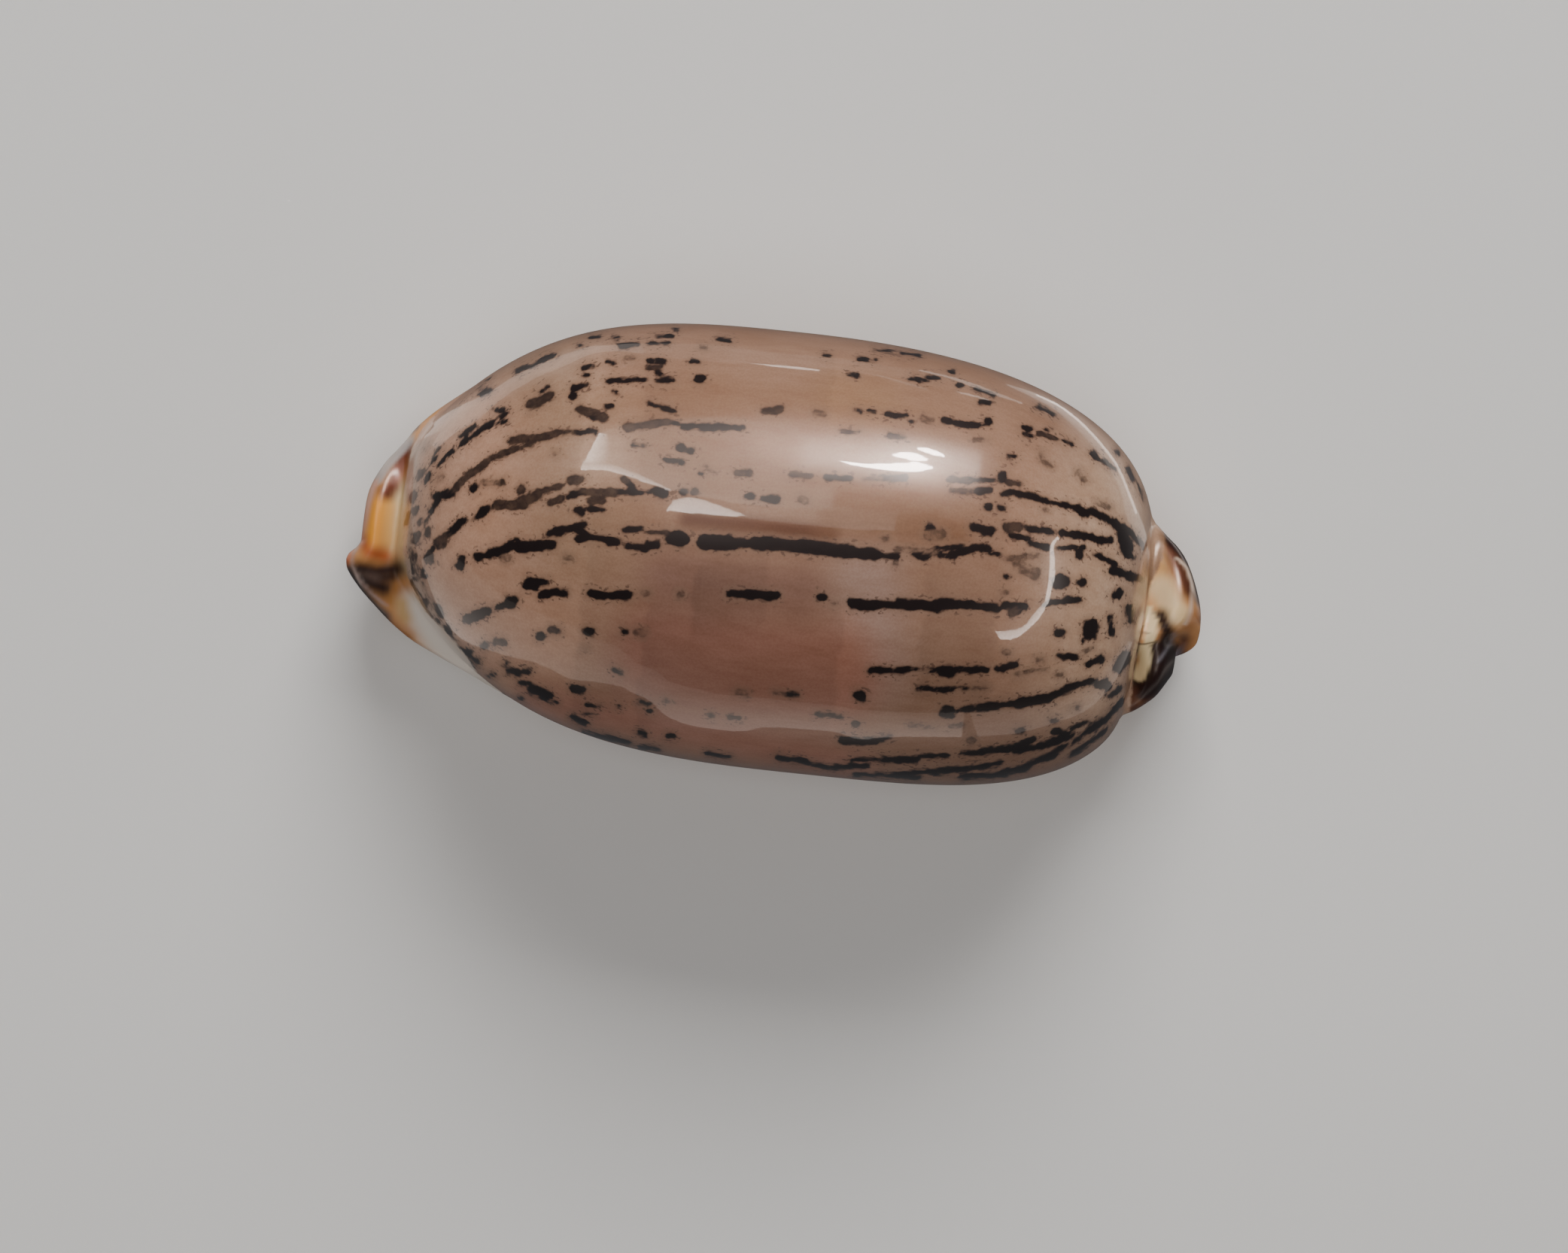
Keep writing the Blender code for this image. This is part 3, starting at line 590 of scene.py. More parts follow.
def drawStreaks(u, v, streaks, cut):
    # for each point, half width less distance to the nearest streak, and how dark that streak is
    depth = np.full(u.shape, -cut)
    tone = np.zeros(u.shape)
    for x0, y0, x1, y1, width, strength in streaks:
        inX = (u > min(x0, x1) - cut) & (u < max(x0, x1) + cut)
        near = np.nonzero(inX & (v > min(y0, y1) - cut) & (v < max(y0, y1) + cut))
        dx, dy = x1 - x0, y1 - y0
        t = np.clip(((u[near] - x0) * dx + (v[near] - y0) * dy) / (dx * dx + dy * dy + 1e-9), 0, 1)
        halfWidth = width / 2 + streakStyle["thinGain" if width < streakStyle["thinWidth"] else "gain"]
        inside = halfWidth - np.hypot(u[near] - x0 - t * dx, v[near] - y0 - t * dy)
        better = inside > depth[near]
        depth[near] = np.where(better, inside, depth[near])
        tone[near] = np.where(better, strength, tone[near])
    return depth, tone


# The flanks below the widest line can't be seen from above: made-up streaks of the same kind.
flankStreaks = {
    "count": 46,
    "front": -13.0,
    "back": 13.2,
    "within": 0.25,  # of straight sideways, as an angle
    "starts": 0.1,
    "highest": 0.3,  # below the widest line
    "lowest": 3.1,
    "tilt": 0.08,
    "widths": (0.09, 0.26),
    "seed": 11,
}


def flankDashes(seed):
    # short dashes and dots at random: x, and how far below the widest line
    rng = np.random.default_rng(seed)
    dashes = []
    for _ in range(flankStreaks["count"]):
        start = rng.uniform(flankStreaks["front"], flankStreaks["back"])
        drop = rng.uniform(flankStreaks["highest"], flankStreaks["lowest"])
        run = rng.choice([rng.uniform(0.1, 0.4), rng.uniform(0.6, 2.4)])
        width = rng.uniform(*flankStreaks["widths"])
        end = (start + run, drop + rng.normal(0, flankStreaks["tilt"]))
        dashes.append((start, drop, *end, width, rng.choice([dark, dark, grey])))
    return dashes


seenX, seenY = asSeen(outer)
cut = streakStyle["cut"]
depth, tone = drawStreaks(seenX, seenY, inMillimetres(streaks), cut)
drop = shell["middleHeight"] - outer[..., 2]
down = np.maximum(drop + streakStyle["fadesFrom"], 0)
depth = np.maximum(depth - streakStyle["fade"] * down, -cut)  # these fade down the flanks
within = flankStreaks["within"]
for side, isHere in ((0, angle < within), (1, angle > np.pi - within)):
    dashes = flankDashes(flankStreaks["seed"] + side)
    sideDepth, sideTone = drawStreaks(outer[..., 0], drop, dashes, cut)
    take = isHere & (drop > flankStreaks["starts"]) & (sideDepth > depth)
    depth = np.where(take, sideDepth, depth)
    tone = np.where(take, sideTone, tone)
print("streaks drawn:", len(streaks), "on the back")


# The fawn field of the back ends at a line near the front collar, at the crease of the back collar,
# and softly above the white base.
field = {
    "frontLine": [(-6.4, -10.6), (-5.9, -11.2), (-5.6, -11.4), (-4.25, -12.7), (-3.6, -13.5), (-2.6, -14.2),
                  (-1.4, -14.6), (0.0, -14.8), (1.5, -14.9), (3.2, -14.9), (3.9, -14.6), (4.6, -14.1)],
    "spireSideSlope": 0.55,  # how fast the front line runs back down the flanks
    "lipSideSlope": 0.35,
    "calluses": 0.28,  # height of callus that already hides the fawn
    "bodyEnd": 14.46,  # the fawn reaches at least to here
    "lipSideEnd": [(0.1, 14.6), (0.6, 14.8), (1.2, 15.02), (1.9, 15.15), (2.6, 15.1)],  # y, x
    "baseLine": 1.9,
    "backFrom": 12,
    "farOff": 2.0,
    "creaseGain": 4,
}
frontLine = curveThrough(field["frontLine"], seenY)
slope = np.where(angle > np.pi / 2, field["spireSideSlope"], field["lipSideSlope"])
frontLine = frontLine + np.maximum(drop, 0) * slope
body, collar, callus = outerParts(x[:, None], angle)
atCrease = np.minimum(body - collar, (field["calluses"] - callus) * field["creaseGain"])
crease = np.where(x[:, None] > field["backFrom"], atCrease, field["farOff"])
crease = np.maximum(crease, field["bodyEnd"] - seenX)
lipSideEnd = curveThrough(field["lipSideEnd"], seenY)
crease = np.maximum(crease, np.minimum(lipSideEnd - seenX, seenY - 0.1))
fieldDepth = np.minimum(seenX - frontLine, crease)
baseDepth = outer[..., 2] - field["baseLine"]


def channel(hexColour):
    # sRGB hex to linear light
    parts = [int(hexColour[i : i + 2], 16) / 255 for i in (1, 3, 5)]
    return [p / 12.92 if p <= 0.04045 else ((p + 0.055) / 1.055) ** 2.4 for p in parts]


# Colour on the collars and painted highlights along their crests, laid in this order along lines of points:
# half width, softness, colour, strength. A line of one point is a round dab.
collarColourAndHighlights = {
    "ground": "#c98d55",
    "front": [
        ([(-14.95, 1), (-14.8, -0.3), (-14.6, -1.2), (-14.4, -1.7)], 0.4, 0.5, "#cdb489", 0.95),
        ([(-15.75, 0.3), (-16, -0.9)], 0.28, 0.5, "#e0922f", 0.95),
        ([(-15.35, 0.4), (-15.3, -0.9)], 0.12, 0.4, "#dba65c", 0.7),
        ([(-16.3, -1.05), (-16, -1.5), (-15.3, -1.6)], 0.12, 0.35, "#a9502a", 0.85),
        ([(-14.95, 2.7), (-15.15, 1.9), (-15.35, 1.2), (-15.5, 0.95)], 0.26, 0.35, "#61301f", 1),
        ([(-16.3, -2.2), (-15.6, -2.25), (-14.85, -2.05)], 0.2, 0.45, "#33201b", 1),
        ([(-16.1, -2.6), (-15.55, -2.75), (-15.2, -2.85)], 0.26, 0.55, "#2e1d19", 1),
        ([(-15.4, -2.45), (-15, -2.35)], 0.15, 0.35, "#33201a", 0.9),
        ([(-16, -2.4), (-15.6, -2.5)], 0.05, 0.35, "#6d5c56", 0.55),
        ([(-14.6, -2.75), (-14.8, -3.3)], 0.12, 0.35, "#a8733f", 0.9),
        ([(-13.9, -3.4), (-12.9, -4.7), (-11.7, -5.7), (-10.5, -6.6), (-8.5, -7.6)],
         0.45, 0.6, "#ded5ca", 0.95),
        ([(-14.3, -3.9), (-14.45, -3.4)], 0.15, 0.4, "#c49b5c", 0.8),
        ([(-15.2, -3.95), (-14.6, -4.35), (-14.1, -4.65)], 0.15, 0.35, "#a36a35", 0.9),
        ([(-16.8, -2.4), (-16.3, -3.05), (-15.6, -3.7), (-15.2, -4)], 0.25, 0.3, "#1f0f0f", 1),
        ([(-14.75, 3.7), (-15.35, 3.15), (-16.05, 2.4), (-16.4, 1.75), (-16.55, 1.1), (-16.62, 0.3),
          (-16.6, -0.8)], 0.22, 0.12, "#22100f", 1),
        # painted highlights: a pale grey band along the front crest and a pale pink line down its rim
        ([(-14.85, 3.05), (-15.25, 2.55), (-15.65, 2), (-15.95, 1.4)], 0.17, 0.16, "#aca39e", 0.9),
        ([(-16.02, 1.3), (-16.2, 0.4), (-16.28, -0.4), (-16.38, -1.1)], 0.08, 0.12, "#d3997f", 0.9),
        ([(-16.85, -1.35), (-16.95, -1.85)], 0.26, 0.2, "#c4683a", 0.95),
        # painted highlight: a thin pale line on round the front crest
        ([(-16.4, -1.15), (-16.6, -1.75), (-16.6, -2.1), (-16.25, -2.6), (-15.75, -3.1), (-15.1, -3.5)],
         0.03, 0.1, "#a58a80", 0.8),
    ],
    "back": [
        ([(15.15, 2.2), (15.2, 1.6), (15.1, 0.9)], 0.15, 0.3, "#c79a62", 0.8),
        ([(15.35, 2.05), (15.6, 1.55), (15.95, 1), (16.3, 0.4)], 0.27, 0.48, "#4a2418", 0.97),
        ([(15.2, 0.35), (15.5, -0.15), (15.75, -0.6)], 0.38, 0.42, "#dcc096", 0.95),
        ([(16, -0.55)], 0.25, 0.3, "#dab988", 0.9),
        ([(15.1, 2.65), (15.9, 2.05), (16.5, 1.3), (16.85, 0.5), (16.95, 0.1)], 0.34, 0.14, "#261111", 1),
        ([(16.95, -0.1), (16.9, -0.7)], 0.12, 0.25, "#6e3a22", 0.9),
        ([(16.6, -0.6), (16.4, -1.1)], 0.1, 0.3, "#b67843", 0.8),
        ([(16.3, -1.6), (16.25, -1.9), (16.2, -2.2)], 0.15, 0.4, "#55291b", 0.9),
        ([(15.3, -0.75), (15.62, -1.35), (15.47, -1.95), (15.32, -2.3)], 0.22, 0.32, "#291a15", 1),
        ([(15.75, -2.3), (15.85, -3), (15.4, -3.4), (14.95, -3.6)], 0.55, 0.25, "#24110f", 1),
        ([(15.1, -1.9), (15.2, -2.5), (15, -3.2)], 0.18, 0.12, "#2b1c16", 1),
        ([(15.7, -3.95), (15.1, -4.25), (14.7, -4.45)], 0.12, 0.3, "#50261a", 0.9),
        ([(14.75, 0.4), (14.62, -0.3), (14.55, -1.2)], 0.06, 0.1, "#b89c78", 0.95),
        ([(14.5, -1.3), (14.45, -2.8), (14.5, -3.6)], 0.08, 0.12, "#3b2a20", 0.95),
        ([(14.4, -3.9), (14.5, -4.4)], 0.25, 0.25, "#5b382a", 0.9),
        # painted highlights: a thin pale line along the back crest and a grey gleam in the dark blotch
        ([(15.72, 1.58), (16.09, 1.28), (16.33, 0.79), (16.48, 0.3), (16.45, -0.34), (16.26, -0.94)],
         0.03, 0.09, "#e0c6b0", 0.8),
        ([(15.91, -1.4), (15.65, -2.05), (15.4, -2.5)], 0.03, 0.12, "#8f8a92", 0.5),
        ([(14.75, -0.6), (15, -1.05), (14.93, -1.7)], 0.2, 0.1, "#d2bb90", 0.98),
        ([(14.8, -2.1), (14.85, -2.6), (14.7, -3.15)], 0.22, 0.1, "#d0b98e", 0.98),
        ([(14.55, -1.93), (14.8, -1.9), (15.1, -1.8)], 0.015, 0.06, "#4b3a2a", 0.95),
        ([(14.62, -1.2), (14.75, -1.5), (14.95, -1.45)], 0.01, 0.06, "#5b4a36", 0.8),
        ([(14.95, -0.6), (15.15, -0.8)], 0.03, 0.08, "#6d675a", 0.6),
    ],
    "base": "#e8dccd",
    "baseHeights": (2.3, 1.0),  # the base colour sets in between these
    "baseLowerAtEnds": (1.2, 1.7),
    "along": (12.5, 15.0),
    "inside": "#b5a6ae",
    "insideEnds": (15.6, 16.4),
}


def brush(colours, u, v, points, halfWidth, softness, hexColour, strength):
    # lays a soft line of colour over what is there, by the distance to the line of points
    away = np.full(u.shape, 1e3)
    ends = points[1:] or points
    for (x0, y0), (x1, y1) in zip(points, ends):
        dx, dy = x1 - x0, y1 - y0
        t = np.clip(((u - x0) * dx + (v - y0) * dy) / (dx * dx + dy * dy + 1e-9), 0, 1)
        away = np.minimum(away, np.hypot(u - x0 - t * dx, v - y0 - t * dy))
    weight = (strength * smoothStep(halfWidth + softness, halfWidth - softness / 2, away))[..., None]
    return colours + (np.array(channel(hexColour)) - colours) * weight


def laid(ground, u, v, strokes):
    # a plain ground with strokes over it, one after another
    colours = np.ones(u.shape + (3,)) * np.array(channel(ground))
    for stroke in strokes:
        colours = brush(colours, u, v, *stroke)
    return colours


# The fawn ground under the streaks: broad soft zones, and growth bands with a crisp near edge.
fawn = {
    "ground": "#9c7862",
    "zones": [
        ([(-12.5, 3.5), (-12.5, -3), (-9.5, -4)], 2, 3, "#c89d83", 1),
        ([(-9.5, 6), (-8, 3.5), (-8, 0)], 1.2, 2.5, "#ac8b73", 0.9),
        ([(13.2, 3.5), (13.2, -3.5)], 1.2, 3.5, "#cba98f", 1),
        ([(3.6, -0.8), (4.4, -4)], 1, 1.5, "#a28374", 0.9),
        ([(1.8, 6.6), (3.4, 6.5)], 0.6, 1.2, "#987459", 0.8),
        ([(-4, -4.4), (2.4, -4.4)], 1.7, 1.5, "#a37361", 1),
        ([(-4, -1.3), (1, -1.3)], 0.8, 1.3, "#8c6758", 0.9),
        ([(-3.6, 1.12), (2, 1.12)], 0.25, 0.45, "#5f3721", 0.9),
        ([(2, 1.6), (7, 1.6)], 0.4, 0.8, "#80593f", 0.7),
        ([(-9, -6.6), (4, -7.9)], 0.4, 0.9, "#b17c6a", 0.8),
        ([(-14.9, 2.8), (-14.8, 0), (-14.6, -1.5), (-13.8, -3.2), (-12.6, -4.6)],
         0.2, 0.45, "#d9c6b4", 0.85),
        ([(15.1, 2.4), (14.85, 1.2), (14.6, 0.2)], 0.15, 0.4, "#735840", 0.9),
    ],
    "bandStrength": 1.6,
    "bandEdge": 0.12,
    "bandSides": 0.6,
    # where a band starts, how much lighter or darker, how fast it fades, and between which y
    "bands": [
        (2.9, 0.11, 2.6, -6.5, -1.4), (-4.9, -0.10, 2.2, -7.5, -2.4), (-3.1, -0.12, 2.4, -3.4, -0.8),
        (6.0, -0.08, 1.8, -5.0, 0.0), (8.9, 0.09, 2.2, -5.0, 5.0), (-8.1, 0.11, 1.6, 0.8, 7.5),
        (-5.8, -0.07, 1.8, 1.6, 7.4), (1.5, 0.09, 1.4, 5.2, 8.0), (-0.2, 0.07, 1.6, -3.0, 0.5),
        (-7.4, -0.08, 1.2, -7.0, 1.0),
    ],
}
fawnPaint = laid(fawn["ground"], seenX, seenY, fawn["zones"])
soft, sides = fawn["bandEdge"], fawn["bandSides"]
for edge, amount, fades, low, high in fawn["bands"]:
    edge = edge + 0.09 * np.sin(2.6 * seenY + edge) + 0.05 * np.sin(7.1 * seenY)  # a little wavy
    past = smoothStep(edge - soft, edge + soft, seenX)
    past = past * np.exp(-np.maximum(seenX - edge, 0) / fades)
    between = smoothStep(low - sides, low + sides, seenY)
    between = between * smoothStep(high + sides, high - sides, seenY)
    fawnPaint = fawnPaint * (1 + amount * fawn["bandStrength"] * past * between)[..., None]

# the collars' strokes hold their own colours and the painted highlights along the crests
collarStrokesAndHighlights = collarColourAndHighlights["front"] + collarColourAndHighlights["back"]
paint = laid(collarColourAndHighlights["ground"], seenX, seenY, collarStrokesAndHighlights)
lower = np.where(x < 0, *collarColourAndHighlights["baseLowerAtEnds"])[:, None]
lower = lower * smoothStep(*collarColourAndHighlights["along"], np.abs(x))[:, None]
baseShare = smoothStep(*collarColourAndHighlights["baseHeights"], outer[..., 2] + lower)
paint = paint + (np.array(channel(collarColourAndHighlights["base"])) - paint) * baseShare[..., None]


def giveFloat(target, name, outerValues, innerValue):
    # one number for every point: the outside's own, and one value for the hollow's
    values = np.full(len(target.vertices), innerValue, np.float32)
    values[: outerValues.size] = outerValues.ravel()
    target.attributes.new(name, "FLOAT", "POINT").data.foreach_set("value", values)


giveFloat(mesh, "streakDepth", depth, -cut)
giveFloat(mesh, "streakTone", tone, 0.0)
giveFloat(mesh, "fieldDepth", fieldDepth, -2.0)
giveFloat(mesh, "baseDepth", baseDepth, -2.0)
rgba = np.ones((len(mesh.vertices), 4), np.float32)
hollowX, hollowY = asSeen(inner[:, 1:-1])
rim = laid(collarColourAndHighlights["ground"], hollowX, hollowY, collarStrokesAndHighlights)
nearEnd = smoothStep(*collarColourAndHighlights["insideEnds"], np.abs(hollowX))[..., None]
wall = np.array(channel(collarColourAndHighlights["inside"])) * (1 - nearEnd) + rim * nearEnd
rgba[outerIndex.size :, :3] = wall.reshape(-1, 3)
for name, colours in (("collarColourAndHighlights", paint), ("fawnPaint", fawnPaint)):
    rgba[: outerIndex.size, :3] = colours.reshape(-1, 3)
    mesh.attributes.new(name, "FLOAT_COLOR", "POINT").data.foreach_set("color", rgba.ravel())
print("colours laid")


class NodeTree:
    # a small helper that adds nodes and joins them
    def __init__(self, material):
        material.use_nodes = True
        self.tree = material.node_tree
        self.tree.nodes.clear()

    def add(self, kind, inputs=None, **settings):
        node = self.tree.nodes.new(kind)
        for key, value in settings.items():
            setattr(node, key, value)
        for key, value in (inputs or {}).items():
            if isinstance(value, bpy.types.NodeSocket):
                self.tree.links.new(value, node.inputs[key])
            else:
                node.inputs[key].default_value = value
        return node

    def math(self, operation, a, b=0.0, c=0.0, clamp=False):
        # one number worked out from up to three
        values = {0: a, 1: b, 2: c}
        return self.add("ShaderNodeMath", values, operation=operation, use_clamp=clamp).outputs[0]

    def times(self, a, b):
        return self.math("MULTIPLY", a, b)

    def step(self, low, high, value):
        # smooth step from low to high
        node = self.add("ShaderNodeMapRange", {"Value": value, "From Min": low, "From Max": high})
        node.interpolation_type = "SMOOTHSTEP"
        return node.outputs[0]

    def mix(self, share, a, b, blend="MIX"):
        # colour b over colour a, by the share
        node = self.add("ShaderNodeMix", data_type="RGBA", blend_type=blend)
        for socket, value in ((node.inputs[0], share), (node.inputs[6], a), (node.inputs[7], b)):
            if isinstance(value, bpy.types.NodeSocket):
                self.tree.links.new(value, socket)
            else:
                socket.default_value = value
        return node.outputs[2]


def colour(hexColour):
    # a hex colour as a shader takes it
    return (*channel(hexColour), 1.0)


glaze = {
    "streak": "#1a1010",
    "streakEdge": "#5a4034",
    "halo": "#7f6350",
    "roughness": 0.3,
    "specular": 0.3,
    "coat": 0.55,
    "collarCoat": 0.02,
    "coatRoughness": 0.035,
    "ior": 1.5,
    # each noise: grains a millimetre along, across and up, and detail
    "mottle": ((2.6, 3.4, 3.4), 3.0),
    "specks": ((5.0, 6.5, 6.5), 1.0),
    "speckle": ((2.6, 2.6, 2.6), 3.0),
    "waves": ((0.22, 0.22, 0.22), 1.0),
    # the same, and how many millimetres it moves a streak's edge
    "ragged": [((1.7, 2.2, 2.2), 1.0, 0.26), ((4.5, 5.5, 5.5), 1.0, 0.12)],
    "fieldRagged": 0.25,
    # the same for the ground's clouds, lines and grain, and the noise's low and high end, share and colour
    "ground": [
        ((0.22, 0.34, 0.34), 2.0, 0.36, 0.66, 0.5, "#e6dccf"),
        ((0.8, 3.5, 3.5), 4.0, 0.35, 0.7, 0.25, "#d9c8bc"),
        ((11.0, 11.0, 11.0), 2.0, 0.3, 0.7, 0.3, "#d9c8bc"),
    ],
}


def glazedAragonite(settings):
    # polished aragonite: a fawn ground with dark streaks under a hard clear gloss
    material = bpy.data.materials.new("glazedAragonite")
    t = NodeTree(material)
    mapping = t.add("ShaderNodeMapping", {"Vector": t.add("ShaderNodeTexCoord").outputs["Object"]})
    mapping.inputs["Scale"].default_value = (1000, 1000, 1000)
    place = mapping.outputs[0]

    def noise(grain, detail):
        # noise with its own number of grains a millimetre along, across and up
        node = t.add("ShaderNodeVectorMath", {0: place, 1: grain}, operation="MULTIPLY")
        inputs = {"Vector": node.outputs[0], "Scale": 1.0, "Detail": detail}
        return t.add("ShaderNodeTexNoise", inputs).outputs[0]

    def attribute(name, output="Fac"):
        return t.add("ShaderNodeAttribute", attribute_name=name).outputs[output]

    depthHere = attribute("streakDepth")
    toneHere = attribute("streakTone")
    fieldHere = attribute("fieldDepth")
    baseHere = attribute("baseDepth")
    # the collars' own colours with their painted highlights along the crests
    painted = attribute("collarColourAndHighlights", "Color")

    # ground: cloudy fawn with fine lines along
    ground = attribute("fawnPaint", "Color")
    for grain, detail, low, high, share, tint in settings["ground"]:
        layer = t.times(t.step(low, high, noise(grain, detail)), share)
        ground = t.mix(layer, ground, colour(tint), "MULTIPLY")

    # streaks: ragged along their edges, with a thin brown fringe
    edge = depthHere
    for grain, detail, reach in settings["ragged"]:
        edge = t.math("MULTIPLY_ADD", t.math("SUBTRACT", noise(grain, detail), 0.5), reach, edge)
    # grey streaks are mottled: more so the fainter they are
    worn = t.math("SUBTRACT", 1.0, toneHere)
    mottle = t.step(0.35, 0.72, noise(*settings["mottle"]))
    mottle = t.times(t.times(worn, mottle), 1.1)
    toneHere = t.math("SUBTRACT", toneHere, mottle, clamp=True)
    halo = t.times(t.step(-0.30, -0.02, edge), 0.35)
    fringe = t.times(t.step(-0.07, 0.02, edge), toneHere)
    core = t.times(t.step(-0.02, 0.05, edge), toneHere)
    marked = t.mix(halo, ground, colour(settings["halo"]))
    # stray specks close round the streaks
    specks = t.step(0.60, 0.66, noise(*settings["specks"]))
    specks = t.times(specks, t.step(-0.30, -0.10, edge))
    specks = t.times(specks, t.times(toneHere, 0.75))
    marked = t.mix(specks, marked, colour(settings["streakEdge"]))
    marked = t.mix(t.times(fringe, 0.7), marked, colour(settings["streakEdge"]))
    marked = t.mix(core, marked, colour(settings["streak"]))

    # the field's edges: crisp and speckled at the collars, soft over the base
    speckle = t.math("SUBTRACT", noise(*settings["speckle"]), 0.5)
    toCollar = t.math("MULTIPLY_ADD", speckle, settings["fieldRagged"], fieldHere)
    toCollar = t.step(-0.07, 0.07, toCollar)
    toBase = t.step(-0.75, 0.75, t.math("MULTIPLY_ADD", speckle, 1.0, baseHere))
    share = t.times(toCollar, toBase)
    finished = t.mix(share, painted, marked)

    # the gloss ripples a little, and the collars have almost none
    waves = noise(*settings["waves"])
    bump = t.add("ShaderNodeBump", {"Height": waves, "Strength": 1.0, "Distance": 0.00001})
    along = t.add("ShaderNodeSeparateXYZ", {0: place}).outputs[0]
    glossy = t.times(toCollar, t.step(14.9, 14.5, along))
    onCollar = settings["collarCoat"]
    values = {
        "Base Color": finished,
        "Normal": bump.outputs[0],
        "Roughness": settings["roughness"],
        "IOR": settings["ior"],
        "Specular IOR Level": settings["specular"],
        "Coat Weight": t.math("MULTIPLY_ADD", glossy, settings["coat"] - onCollar, onCollar),
        "Coat Roughness": settings["coatRoughness"],
        "Coat IOR": settings["ior"],
    }
    shader = t.add("ShaderNodeBsdfPrincipled", values)
    t.add("ShaderNodeOutputMaterial", {"Surface": shader.outputs[0]})
    return material


cowrie.data.materials.append(glazedAragonite(glaze))
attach(cowrie, "root")
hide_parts("cowrie_shell")
print("shell dressed")


# Plain pale floor and soft studio light.
studio = {
    "floorSize": 900,
    "floorColour": "#e6e3df",
    "floorRoughness": 0.9,
    "floorSpecular": 0.2,
    "world": "#8f8f92",
    "worldStrength": 0.3,
}


def paleFloor(settings):
    # a large square of matt paper under the shell
    size = settings["floorSize"] * mm / 2
    floorMesh = bpy.data.meshes.new("floor")
    corners = [(-size, -size, 0), (size, -size, 0), (size, size, 0), (-size, size, 0)]
    floorMesh.from_pydata(corners, [], [(0, 1, 2, 3)])
    floor = bpy.data.objects.new("floor", floorMesh)
    scene.collection.objects.link(floor)
    material = bpy.data.materials.new("mattPaperFloor")
    t = NodeTree(material)
    paper = {
        "Base Color": colour(settings["floorColour"]),
        "Roughness": settings["floorRoughness"],
        "Specular IOR Level": settings["floorSpecular"],
    }
    shader = t.add("ShaderNodeBsdfPrincipled", paper)
    t.add("ShaderNodeOutputMaterial", {"Surface": shader.outputs[0]})
    floorMesh.materials.append(material)
    return floor


floor = paleFloor(studio)
floor.visible_glossy = False  # keeps the flanks as deep in colour as against a dark ground
world = bpy.data.worlds.new("softRoom")
scene.world = world
world.use_nodes = True
background = world.node_tree.nodes["Background"]
background.inputs["Color"].default_value = colour(studio["world"])
background.inputs["Strength"].default_value = studio["worldStrength"]

camera = bpy.data.objects.new("camera", bpy.data.cameras.new("camera"))
scene.collection.objects.link(camera)
scene.camera = camera
camera.data.lens = view["lens"]
camera.data.sensor_width = view["sensor"]
camera.data.clip_start = 0.01
camera.data.clip_end = 5.0
camera.location = (view["aimX"] * mm, (view["aimY"] - centre[1]) * mm, view["height"] * mm)
camera.rotation_euler = (0, 0, math.radians(view["roll"]))

# Lamps: bearing from +x, lean from straight up, distance, width and height in mm, and watts.
lamps = {
    "side": (85, 55, 380, 260, 160, 1.5),
    "above": (265, 12, 420, 300, 300, 0.65),
}


def addLamp(name, bearing, lean, away, wide, tall, watts):
    # a rectangle of light that faces the middle of the shell
    light = bpy.data.lights.new(name, "AREA")
    light.shape = "RECTANGLE"
    light.size = wide * mm
    light.size_y = tall * mm
    light.energy = watts
    lamp = bpy.data.objects.new(name, light)
    scene.collection.objects.link(lamp)
    lamp.visible_glossy = False  # the gloss shows the cards below instead
    b, lean = math.radians(bearing), math.radians(lean)
    target = Vector((0, 0, 6 * mm))
    direction = Vector((math.cos(b) * math.sin(lean), math.sin(b) * math.sin(lean), math.cos(lean)))
    lamp.location = target + direction * away * mm
    lamp.rotation_euler = (-direction).to_track_quat("-Z", "Y").to_euler()


for name, values in lamps.items():
    addLamp(name, *values)

